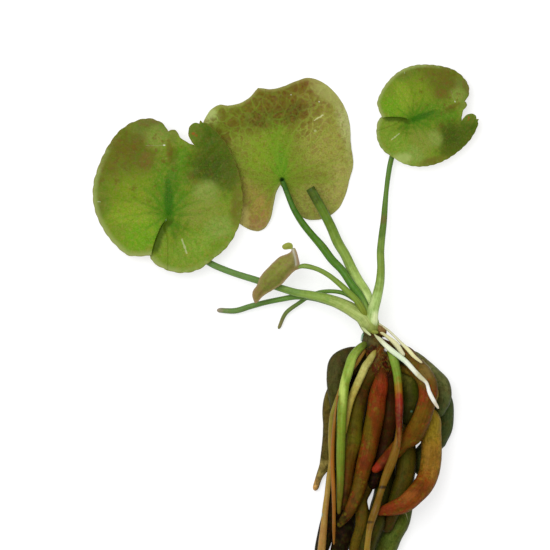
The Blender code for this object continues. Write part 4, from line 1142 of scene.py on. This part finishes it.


# Skins. Marks on stalks, tubers and roots, painted highlights and painted shade among them:
# x, y, half width, half length, turn, tint, strength.
SKIN_MARKS_AND_PAINTED_LIGHT = {
    "stalk_cut": [
        # Painted highlight: a pale line along the cut stalk's edge.
        (21.2, 10.35, 0.24, 3.2, 25.3, 206, 224, 190, 0.65),
        (24.4, 6.4, 1.4, 2.8, 20, 212, 234, 148, 0.75)],
    "stalk_right": [
        (29.1, 30.7, 1.3, 1.4, 0, 112, 98, 52, 0.65),
        # The next mark is a painted highlight on the stalk's base.
        (26.9, 1.2, 1.1, 1.9, 0, 224, 236, 172, 0.85),
        (25.2, 6.4, 1, 2.4, -10, 204, 220, 148, 0.6),
        (25.8, -1.4, 1.5, 0.9, 0, 136, 144, 68, 0.6)],
    "stalk_left": [
        (2.4, 9.2, 1.9, 1.2, 0, 98, 132, 62, 0.6), (25.8, -1.3, 1.4, 1, 0, 132, 138, 62, 0.6),
        (23.4, -2.2, 1, 1.8, 45, 122, 134, 66, 0.7)],
    "rootstock": [
        (26.6, -5.8, 1.9, 1.3, 0, 104, 94, 46, 0.7), (23.8, -5.2, 1.3, 1.5, 0, 86, 86, 50, 0.75),
        (28.6, -8.9, 1.3, 1.7, 0, 164, 138, 68, 0.85),
        (27.6, -11.4, 1, 0.9, 0, 120, 112, 44, 0.5),
        # Painted glint: a white spot, given alike to the rootstock, the root and the tuber that
        # meet there.
        (29.69, -8.26, 0.52, 0.52, 0, 255, 255, 250, 1)],
    # The same painted glint.
    "root_green_red": [(29.69, -8.26, 0.52, 0.52, 0, 255, 255, 250, 1)],
    "tuber_right_outer": [
        # The first mark is the same painted glint.
        (29.69, -8.26, 0.52, 0.52, 0, 255, 255, 250, 1), (41, -12, 2.2, 1.8, 35, 96, 80, 34, 0.6)],
    "tuber_red": [
        (28.7, -14.4, 2.8, 1.9, 0, 84, 50, 20, 0.8), (29.6, -18.8, 1.8, 3, 10, 150, 52, 12, 0.55),
        (28.9, -23.6, 1.6, 2.4, 10, 134, 54, 16, 0.5), (24.3, -31.5, 1.3, 5, 8, 104, 92, 22, 0.8),
        (27, -32.5, 1.1, 5, 8, 118, 56, 16, 0.6), (23.6, -41.8, 2, 2.1, 0, 112, 42, 10, 0.6),
        (21.2, -49, 1.4, 4.5, 15, 98, 84, 24, 0.65), (19.2, -55.5, 1.6, 3, 25, 106, 72, 26, 0.6)],
    "tuber_right_inner": [
        (40.8, -21.8, 1.8, 2, 0, 136, 52, 20, 0.55),
        (42.2, -14.4, 2.1, 3.2, -30, 128, 108, 56, 0.75),
        (39.3, -29, 2, 3.6, -35, 112, 86, 26, 0.6),
        (35.3, -33.6, 1.5, 2.2, -40, 128, 62, 22, 0.5),
        (30.4, -40, 1.8, 1.8, 0, 108, 42, 18, 0.6), (27, -43.6, 1.5, 1.4, 0, 150, 46, 8, 0.75),
        (29.2, -42.8, 1.2, 0.9, 40, 84, 34, 16, 0.6)],
    "tuber_tan": [
        (43.3, -31, 2.4, 5.5, 0, 150, 126, 36, 0.75),
        (43.5, -40, 2.3, 4.2, 0, 142, 104, 42, 0.65),
        (40.8, -49.2, 2.6, 1.7, 20, 112, 56, 24, 0.6), (38.9, -51, 1.7, 1.2, 0, 100, 46, 16, 0.6),
        (36.6, -51.7, 2.8, 1.2, 15, 154, 92, 42, 0.6), (35, -54.8, 3.2, 1, 10, 128, 58, 26, 0.5),
        (29.5, -55.9, 2, 1.2, 0, 120, 48, 20, 0.55)],
    "tuber_brown": [
        (21.2, -27.5, 1.5, 5, 8, 96, 88, 22, 0.7), (19.9, -42, 1.4, 4.6, 4, 104, 60, 24, 0.55),
        (19.8, -53.4, 0.3, 0.3, 0, 200, 184, 130, 0.8)],
    "tuber_olive": [
        (36, -34.8, 2.2, 1.6, 0, 108, 88, 34, 0.6), (35.4, -40.5, 1.6, 3.2, 0, 84, 88, 20, 0.5)],
    "tuber_green_inner": [
        (38.6, -20.4, 0.9, 2.6, 10, 84, 94, 32, 0.7),
        (37.5, -26.7, 0.32, 0.32, 0, 110, 150, 120, 0.8)],
    "root_green": [
        # The first mark is painted shade where the root's start dives into the rootstock.
        (23.7, -6.6, 1.2, 1, 45, 88, 92, 38, 0.7), (16.5, -18.6, 1, 6, 6, 186, 206, 98, 0.8),
        (19.9, -13, 0.9, 3.4, -18, 180, 204, 92, 0.6)],
    "crown sheath": [(25.8, -1.2, 1.6, 0.9, 0, 132, 140, 66, 0.6)],
    "root_amber": [
        (29.2, -49.3, 1.6, 0.5, 0, 52, 42, 14, 0.85),
        (24.8, -59.7, 1.6, 0.4, 0, 58, 42, 16, 0.75)],
    "root_tan": [
        (12.6, -57.9, 0.5, 4.8, 0, 156, 90, 46, 0.5),
        (10.5, -57.6, 0.5, 0.7, 0, 120, 160, 150, 0.8)],
}

# Rust spots and olive spots on a skin: scale, size, share of places, tint.
RUST_SPOTS = ((0.9, 0.42, 0.5, (150, 56, 20)), (0.65, 0.45, 0.45, (118, 112, 34)))

# How far the colours along a tube wander to and fro, in shares of its length.
WANDER = 0.308


def skin_finish(name, stops, roughness=0.5, specular=0.12, shadow=0.75, mottled=0.65, specks=0.5,
                light_specks=0.3, fibres=0.2, drifts=(), rust=0.0, bump=0.16):
    """A skin whose colour changes along the tube. stops are (share of the length, tint)."""
    material, tree, surface = new_finish(name, roughness, specular)
    skin = read(tree, "skin", "Vector")
    drift = sums(tree, "SUBTRACT", noise_texture(tree, skin, 0.42, 5, 0.6)[0], 0.5)
    ramp = tree.nodes.new("ShaderNodeValToRGB")
    place = sums(tree, "ADD", read(tree, "along"), times(tree, drift, WANDER))
    tree.links.new(place, ramp.inputs[0])
    ramp.color_ramp.interpolation = "EASE"
    elements = ramp.color_ramp.elements
    while len(elements) < len(stops):
        elements.new(0.5)
    for element, stop in zip(elements, stops):
        element.position = stop[0]
    for element, stop in zip(elements, stops):
        element.color = tint(*stop[1:])
    colour = lay_mottles(tree, ramp.outputs[0], skin, [
        (scale, 0.46, 0.66, 6, over, share) for scale, over, share in drifts])
    if rust:
        for scale, size, share, over in RUST_SPOTS:
            colour = lay(tree, colour, over, flecks(tree, skin, scale, size, share), rust)
    # Marks from the table, with painted highlights and painted shade among them.
    marks = [(x + TABLE_TO_FRAME[0], y + TABLE_TO_FRAME[1], *rest)
             for x, y, *rest in SKIN_MARKS_AND_PAINTED_LIGHT.get(name, ())]
    if marks:
        colour = add_patches(tree, colour, plan_place(tree), marks)
    darker = hue_shifted(tree, colour, 1, 0.45)
    lighter = hue_shifted(tree, colour, 0.92, 1.55)
    cloud = mottle(tree, skin, 0.55, 0.42, 0.72, 7)
    colour = lay(tree, colour, darker, cloud, mottled)
    colour = lay_mottles(tree, colour, skin, (
        (1.5, 0.5, 0.66, 2, darker, specks * 0.9), (2.1, 0.56, 0.72, 2, lighter, specks * 0.7),
        (3.3, 0.52, 0.68, 2, darker, specks * 0.8)))
    fibre = use_group(tree, "fibres", {"Place": skin, "Across": 2.4, "Along": 0.1})
    colour = lay(tree, colour, lighter, fibre["Mask"], fibres)
    colour = lay(tree, colour, lighter, flecks(tree, skin, 1.1, 0.16, 0.22), light_specks)
    # Painted shade: the colour darkens, by up to shadow, where the skin turns away from the camera
    # towards its outline.
    facing = put(tree, "ShaderNodeLayerWeight", {"Blend": 0.35})["Facing"]
    colour = lay(tree, colour, darker, ranged(tree, facing, 0.15, 0.85, 0, shadow))
    tree.links.new(colour, surface["Base Color"])
    add_bump(tree, surface, fibre["Height"], bump, 0.8)
    wet = ranged(tree, cloud, 0, 1, roughness - 0.08, roughness + 0.12)
    tree.links.new(wet, surface["Roughness"])
    return material


# Colours along each tube, from the crown to the tip: share of the length, tint. Tubers and roots
# name their slot first.
STALK_SKINS = {
    "stalk_left": [
        (0, 172, 184, 110), (0.14, 166, 182, 98), (0.3, 134, 162, 70), (0.55, 104, 138, 70),
        (1, 98, 132, 68)],
    "stalk_middle": [(0, 128, 156, 74), (0.2, 84, 130, 44), (0.6, 76, 118, 34), (1, 56, 98, 34)],
    "stalk_cut": [
        (0, 188, 206, 124), (0.25, 172, 198, 102), (0.5, 134, 160, 68), (0.78, 94, 122, 36),
        (1, 66, 80, 14)],
    "stalk_right": [
        (0, 186, 204, 140), (0.14, 160, 188, 102), (0.3, 126, 150, 62), (0.5, 90, 120, 46),
        (1, 80, 118, 48)],
    "stalk_young": [(0, 124, 134, 46), (0.35, 122, 148, 54), (1, 126, 150, 70)],
    "shoot_blunt": [(0, 116, 148, 62), (0.5, 96, 134, 56), (0.9, 98, 128, 66), (1, 146, 132, 112)],
    "shoot_pointed": [
        (0, 104, 142, 56), (0.6, 96, 130, 54), (0.85, 108, 120, 62), (1, 124, 114, 74)],
}
TUBER_SKINS = {
    # The two bottom tubers are tinted near black: painted shade for the deep shade they lie in
    # under the others.
    "tuber_left_bottom": ("tuber_dark", (0, 38, 31, 14), (1, 45, 38, 18)),
    "tuber_shaded": ("tuber_dark", (0, 38, 29, 12), (1, 43, 36, 15)),
    "tuber_bottom_middle": (
        "tuber_brown", (0, 60, 41, 14), (0.5, 83, 64, 15), (0.8, 98, 81, 19), (1, 95, 76, 19)),
    "tuber_right_bottom": (
        "tuber_green", (0, 52, 43, 15), (0.6, 82, 90, 30), (0.85, 92, 106, 44), (1, 86, 94, 38)),
    "tuber_right_lower": ("tuber_green", (0, 76, 84, 44), (0.5, 78, 92, 52), (1, 72, 76, 42)),
    "tuber_dark_lower": ("tuber_dark", (0, 60, 50, 24), (0.6, 62, 60, 15), (1, 71, 69, 19)),
    "tuber_left_outer": (
        "tuber_dark", (0, 52, 43, 23), (0.35, 102, 90, 40), (0.76, 98, 88, 42),
        (0.88, 156, 140, 76), (1, 208, 160, 92)),
    "tuber_olive": (
        "tuber_green", (0, 50, 42, 14), (0.55, 88, 74, 18), (0.8, 80, 70, 20), (1, 69, 53, 17)),
    "tuber_dark_middle": ("tuber_dark", (0, 70, 46, 20), (0.4, 76, 46, 22), (1, 42, 32, 18)),
    "tuber_green_inner": (
        "tuber_green", (0, 108, 98, 42), (0.35, 152, 150, 60), (0.65, 88, 88, 40),
        (1, 60, 56, 28)),
    "tuber_right_outer": (
        "tuber_green", (0, 104, 90, 44), (0.4, 124, 128, 76), (0.7, 106, 108, 62),
        (1, 84, 96, 56)),
    "tuber_left_upper": (
        "tuber_dark", (0, 60, 48, 28), (0.3, 82, 80, 46), (0.6, 76, 76, 36), (1, 70, 60, 26)),
    "tuber_brown": (
        "tuber_brown", (0, 80, 62, 26), (0.25, 76, 56, 18), (0.55, 96, 92, 18),
        (0.78, 100, 62, 18), (1, 66, 46, 18)),
    "tuber_tan": (
        "tuber_red", (0, 120, 96, 30), (0.35, 166, 144, 50), (0.6, 158, 118, 42),
        (0.78, 136, 78, 28), (0.9, 128, 60, 20), (1, 126, 58, 18)),
    "tuber_red": (
        "tuber_red", (0, 90, 44, 16), (0.2, 130, 58, 16), (0.38, 118, 70, 20), (0.6, 112, 70, 20),
        (0.74, 108, 66, 18), (0.84, 82, 58, 18), (0.93, 56, 42, 18), (1, 74, 66, 26)),
    "tuber_right_inner": (
        "tuber_red", (0, 78, 50, 20), (0.28, 112, 90, 40), (0.5, 108, 72, 24),
        (0.75, 108, 78, 24), (0.9, 112, 58, 20), (1, 146, 48, 12)),
}
ROOT_SKINS = {
    "root_tan": (
        "root_amber", (0, 150, 108, 44), (0.2, 160, 122, 50), (0.3, 142, 134, 54),
        (0.65, 172, 140, 64), (0.82, 164, 122, 60), (1, 172, 144, 76)),
    "root_amber": (
        "root_amber", (0, 96, 72, 24), (0.4, 124, 88, 20), (0.58, 122, 90, 24),
        (0.72, 116, 84, 20), (0.86, 140, 112, 38), (1, 138, 110, 44)),
    "root_cream": (
        "root_cream", (0, 150, 136, 60), (0.2, 196, 192, 110), (0.6, 186, 170, 76),
        (0.85, 148, 130, 50), (1, 134, 116, 44)),
    "root_green_red": (
        "root_green", (0, 96, 60, 28), (0.13, 110, 120, 44), (0.2, 128, 160, 60),
        (0.38, 120, 150, 50), (0.48, 152, 112, 10), (0.58, 150, 44, 0), (0.74, 104, 38, 2),
        (1, 124, 74, 18)),
    "root_green": (
        "root_green", (0, 96, 122, 40), (0.16, 134, 164, 60), (0.45, 124, 150, 46),
        (0.75, 112, 132, 42), (0.86, 108, 110, 36), (1, 100, 86, 30)),
    "root_orange": ("root_amber", (0, 138, 94, 36), (0.5, 158, 98, 28), (1, 136, 86, 30)),
    "root_white_long": (
        "root_white", (0, 190, 192, 140), (0.18, 226, 232, 200), (0.34, 212, 228, 194),
        (0.5, 232, 236, 216), (0.66, 198, 194, 156), (0.8, 240, 240, 230), (1, 206, 196, 172)),
    "root_white_side": (
        "root_white", (0, 168, 160, 104), (0.35, 214, 210, 156), (1, 214, 212, 172)),
    "root_white_short": (
        "root_white", (0, 186, 182, 140), (0.4, 214, 212, 178), (0.75, 224, 220, 162),
        (1, 206, 196, 150)),
}

# Clouds of other colours over them: scale, tint, share.
STALK_DRIFTS = ((0.8, (120, 132, 44), 0.25), (0.5, (92, 140, 70), 0.2))
ROOT_DRIFTS = ((0.7, (150, 96, 40), 0.25), (1.1, (120, 130, 46), 0.2))
TUBER_DRIFTS = {
    "tuber_dark": ((0.45, (74, 44, 22), 0.45), (0.75, (58, 68, 28), 0.45)),
    "tuber_brown": ((0.45, (112, 58, 20), 0.45), (0.75, (80, 84, 22), 0.45)),
    "tuber_green": ((0.45, (84, 58, 22), 0.35), (0.75, (56, 80, 22), 0.4)),
    "tuber_red": ((0.45, (138, 54, 14), 0.4), (0.75, (100, 94, 26), 0.45)),
}

# Rows that lead a tube into the crown, or on at its other end: x, y, height, radius.
STALK_LEADS = {
    "stalk_left": [
        (25.9, -4.4, 8.4, 1.3), (25, -2.4, 9.2, 1.9), (24.3, -0.7, 9.8, 2.25),
        (22.9, 1.35, 9.9, 2.1)],
    "stalk_right": [
        (25.4, -4, 8.6, 1.4), (25.5, -1.8, 9.5, 1.9), (25.5, 0.4, 9.9, 2), (25.8, 2.6, 10, 1.8)],
    "stalk_cut": [(24.6, 0.2, 8.6, 1.9), (24.6, 3.2, 7.6, 2)],
    "stalk_middle": [(24.7, 0.6, 8.9, 1.2), (23.9, 3.6, 9.5, 1.3)],
    "stalk_young": [(24.2, 0.2, 9.6, 0.8), (23.4, 2.6, 11, 0.95)],
    "shoot_blunt": [(23.8, 0.6, 7.6, 0.85), (21.8, 2.2, 6.6, 0.85)],
    "shoot_pointed": [(23.4, 3.6, 7.8, 0.65)],
}
STALK_ENDS = {
    "stalk_left": [(-35.3, 32, 5.6, 0.75)],
    "stalk_right": [(37.5, 60.8, 4.3, 0.7)],
    "stalk_young": [(4, 16.5, 10, 0.52), (3, 16.3, 9.6, 0.4)],
}
ROOT_LEADS = {
    "root_cream": [
        (26.8, -8.3, 11.3, 0.45), (26.3, -9.2, 12.25, 0.82), (25.6, -10.4, 12.3, 1.02),
        (24.7, -11.8, 11.6, 1.12)],
    "root_green": [(24.1, -6.3, 9.4, 0.5), (23.7, -6.6, 10.4, 0.75)],
    "root_white_long": [(26.3, -3.5, 11.7, 0.14), (26.9, -4.2, 12.1, 0.32)],
}

CROWN_STEP = 0.3
STRAND_SIDES, STRAND_MERGE = 6, 0.0002


def dress_crown(name, rows, finish, lumps, wrinkles, seed, sides=36, tip=0.0):
    """A short tube of the crown, not read from a node."""
    route = smooth_route(np.array(rows) + ROW_TO_FRAME, CROWN_STEP)
    if tip:
        route = round_off(route, tip)
    tube = add_tubes(name, [route], sides)
    shape_skin(tube, route, lumps, 0.02, wrinkles, seed)
    stand_for(tube, "crown", "crown", finish)


def add_lump(name, centre, half, turn, finish, roughness, seed):
    """A small rounded lump: a ball stretched, turned about the upright axis and roughened."""
    deselect()
    bpy.ops.mesh.primitive_uv_sphere_add(segments=32, ring_count=20, radius=MM)
    lump = name_new_piece(name)
    ball = corners_of(lump)
    ball *= (1.0 + roughness * noise_at(ball * 1.6, 1.0, seed))[:, None]
    ball *= half
    x, y = turned(ball[:, 0], ball[:, 1], math.radians(turn))
    place_corners(lump, np.column_stack((x, y, ball[:, 2])) + np.array(centre) + TABLE_TO_FRAME)
    store(lump, "skin", ball)
    store(lump, "along", 0.5 - ball[:, 1] / (2.2 * half[1]))
    lump.data.shade_smooth()
    stand_for(lump, "crown", "crown", finish)


def add_strands(name, strands, finish, node, slot):
    """Thin fibres, one round tube each, in one piece."""
    routes = [np.array(strand) + ROW_TO_FRAME for strand in strands]
    item = add_tubes(name, routes, STRAND_SIDES, STRAND_MERGE, "MINIMUM")
    corners = corners_of(item)
    store(item, "skin", corners)
    store(item, "along", 0.5 + 0.5 * noise_at(corners, 2.2, 8.0))
    item.data.shade_smooth()
    stand_for(item, node, slot, finish)


def rootstock_fibres(chance, count):
    """Frayed fibres over the lower rootstock, each following its skin and bending away."""
    strands = []
    for _ in range(count):
        share = chance.uniform(0.0, 1.0)
        x0 = 26.6 + 2.6 * share + chance.uniform(-0.6, 0.6)
        y0 = -6.6 - 9.4 * share
        side = chance.uniform(-0.75, 1.1)
        length = chance.uniform(1.0, 2.6)
        lean = side * 0.5 + chance.uniform(-0.5, 0.5)
        radius = chance.uniform(0.05, 0.13)
        top = 9.3 + 3.0 * math.sqrt(max(0.0, 1.0 - 0.8 * side * side)) + 1.7 * share ** 3
        rows = []
        for t in np.linspace(0.0, 1.0, 7):
            x = x0 + side * 2.7 + lean * length * t + 0.25 * math.sin(5 * t + 9 * share)
            y = y0 - length * t * (0.95 - 0.25 * abs(lean))
            height = top + 0.3 * t + 0.25 * math.sin(7 * t + 20 * share)
            rows.append((x, y, height, radius * (1.0 - 0.75 * t)))
        strands.append(rows)
    return strands


add_floor()
light_the_scene()
add_camera()

leaf_top, leaf_under = leaf_top_finish(), leaf_under_finish()
dress_pad("leaf_left", "leaf", LEFT_JOINT, 0.0, LEFT_LEAF_SIZE, (leaf_top, leaf_under),
          LEFT_LEAF_CELL)
dress_pad("leaf_right", "leaf", RIGHT_JOINT, RIGHT_LEAF_TURN, RIGHT_LEAF_SIZE,
          (leaf_top, leaf_under), RIGHT_LEAF_CELL)
dress_middle_leaf((leaf_under, leaf_top))
dress_young_leaf(young_leaf_finish())

for number, (node, stops) in enumerate(STALK_SKINS.items()):
    finish = skin_finish(node, stops, 0.48, 0.16, shadow=0.5, mottled=0.2, specks=0.16,
                         light_specks=0.2, fibres=0.4, drifts=STALK_DRIFTS, bump=0.06)
    dress_tube(node, "stalk", finish, 20, 0.6, STALK_LEADS[node], STALK_ENDS.get(node, ()),
               lumps=0.03, ridges=0.015, wrinkles=0.006,
               tip=0 if node.startswith("stalk") else 1.6, seed=number)
for number, (node, (slot, *stops)) in enumerate(TUBER_SKINS.items()):
    finish = skin_finish(node, stops, 0.55, 0.05, drifts=TUBER_DRIFTS[slot],
                         rust=0.5 if slot == "tuber_red" else 0.07)
    dress_tube(node, slot, finish, 28, 0.5, reach=3.0, seed=number + 20)
for number, (node, (slot, *stops)) in enumerate(ROOT_SKINS.items()):
    white = slot == "root_white"
    finish = skin_finish(node, stops, 0.45, 0.14, shadow=0.5 if white else 0.45,
                         mottled=0.06 if white else 0.25, specks=0.05 if white else 0.2,
                         fibres=0.3, drifts=() if white else ROOT_DRIFTS, bump=0.05)
    dress_tube(node, slot, finish, 18, 0.5, ROOT_LEADS.get(node, ()),
               reach=0.0 if node == "root_orange" else 1.8, ridges=0.03, seed=number + 40)

sheath = skin_finish("crown sheath", [(0, 160, 184, 96), (0.6, 150, 172, 84), (1, 120, 124, 50)],
                     0.45, shadow=0.4, mottled=0.2, specks=0.1, fibres=0.4)
bark = skin_finish("rootstock", [
    (0, 74, 70, 28), (0.3, 56, 54, 26), (0.5, 78, 42, 22), (0.8, 96, 48, 22), (1, 108, 48, 20)],
    0.6, mottled=0.6, bump=0.2, drifts=((0.6, (112, 44, 22), 0.4), (0.9, (74, 74, 26), 0.4)))
pale = skin_finish("pale sheath edge", [(0, 170, 186, 120), (1, 206, 212, 160)], 0.45, shadow=0.3,
                   mottled=0.1, specks=0.1)
olive = skin_finish("olive scale", [(0, 150, 160, 70), (1, 130, 136, 56)], 0.45, shadow=0.4,
                    mottled=0.3)
brown = skin_finish("brown scale", [(0, 150, 120, 70), (1, 104, 68, 32)], shadow=0.4, mottled=0.5)
teal = skin_finish("new bud", [(0, 120, 160, 130), (1, 196, 220, 206)], 0.4, shadow=0.2,
                   mottled=0.1)
frayed = skin_finish("frayed fibre", [
    (0, 44, 34, 16), (0.36, 92, 44, 20), (0.5, 138, 78, 30), (0.62, 112, 104, 38),
    (0.75, 86, 40, 20), (1, 140, 60, 24)], 0.6, shadow=0.3, mottled=0.4)
hair = skin_finish("pale hair", [(0, 150, 140, 100), (1, 176, 168, 130)], mottled=0.1, specks=0.1)

dress_crown("crown", [
    (24.3, 3.4, 8.9, 1.9), (24.7, 1.2, 9.2, 2.6), (25.1, -1, 9.2, 2.75), (25.4, -2.6, 9.2, 2.5),
    (25.5, -3.6, 9.2, 2)], sheath, 0.06, 0.02, 2.0)
dress_crown("rootstock", [
    (25.2, -2.2, 9, 2), (25.5, -4, 9.1, 2.7), (25.9, -6.2, 9.2, 3), (26.6, -9.3, 9.3, 3),
    (27.5, -12.4, 9.4, 3), (28.2, -15.2, 9.5, 2.8), (28.5, -17, 9.6, 1.8)], bark, 0.16, 0.08, 3.0)
dress_crown("sheath_stub", [
    (22.4, -0.9, 10.4, 0.35), (23.2, -2, 11.4, 0.46), (24.3, -3.1, 11.95, 0.42),
    (25.4, -4, 12.1, 0.24)], pale, 0.05, 0.02, 5.0, 16, 0.7)
dress_crown("new_bud", [
    (23.1, -3.4, 10.4, 0.3), (22.8, -4.4, 10.1, 0.38), (22.5, -5.7, 9.7, 0.25)],
    teal, 0.08, 0.02, 6.0, 14, 0.5)
add_lump("scale_olive", (26.5, -3, 11.3), (1.15, 0.7, 0.8), -8, olive, 0.12, 2.0)
add_lump("scale_brown", (28.5, -2.6, 9.9), (1.3, 1.9, 1.3), 25, brown, 0.25, 3.0)
add_lump("scale_dark", (27, -5, 10.9), (1.7, 1.3, 1.2), 10, bark, 0.25, 4.0)
add_lump("scale_left", (24.1, -5.2, 10.2), (1.3, 1.8, 1.6), -10, bark, 0.25, 5.0)
add_strands("rootstock_fibres", rootstock_fibres(random.Random(7), 200), frayed, "crown", "crown")
add_strands("loose_hairs", [
    [(40.6, -11, 13.6, 0.05), (43, -13.6, 13.9, 0.07), (44.6, -17.4, 13.8, 0.06),
     (45.3, -21.2, 13.2, 0.04)],
    [(34.8, -55.4, 13.4, 0.05), (36, -57.6, 13.2, 0.07), (36.4, -59.2, 12.6, 0.04)],
    [(33.2, -23.6, 13.7, 0.05), (33, -26.6, 13.9, 0.05), (33.9, -28.8, 13.6, 0.04)],
], hair, "root_white_long", "root_white")
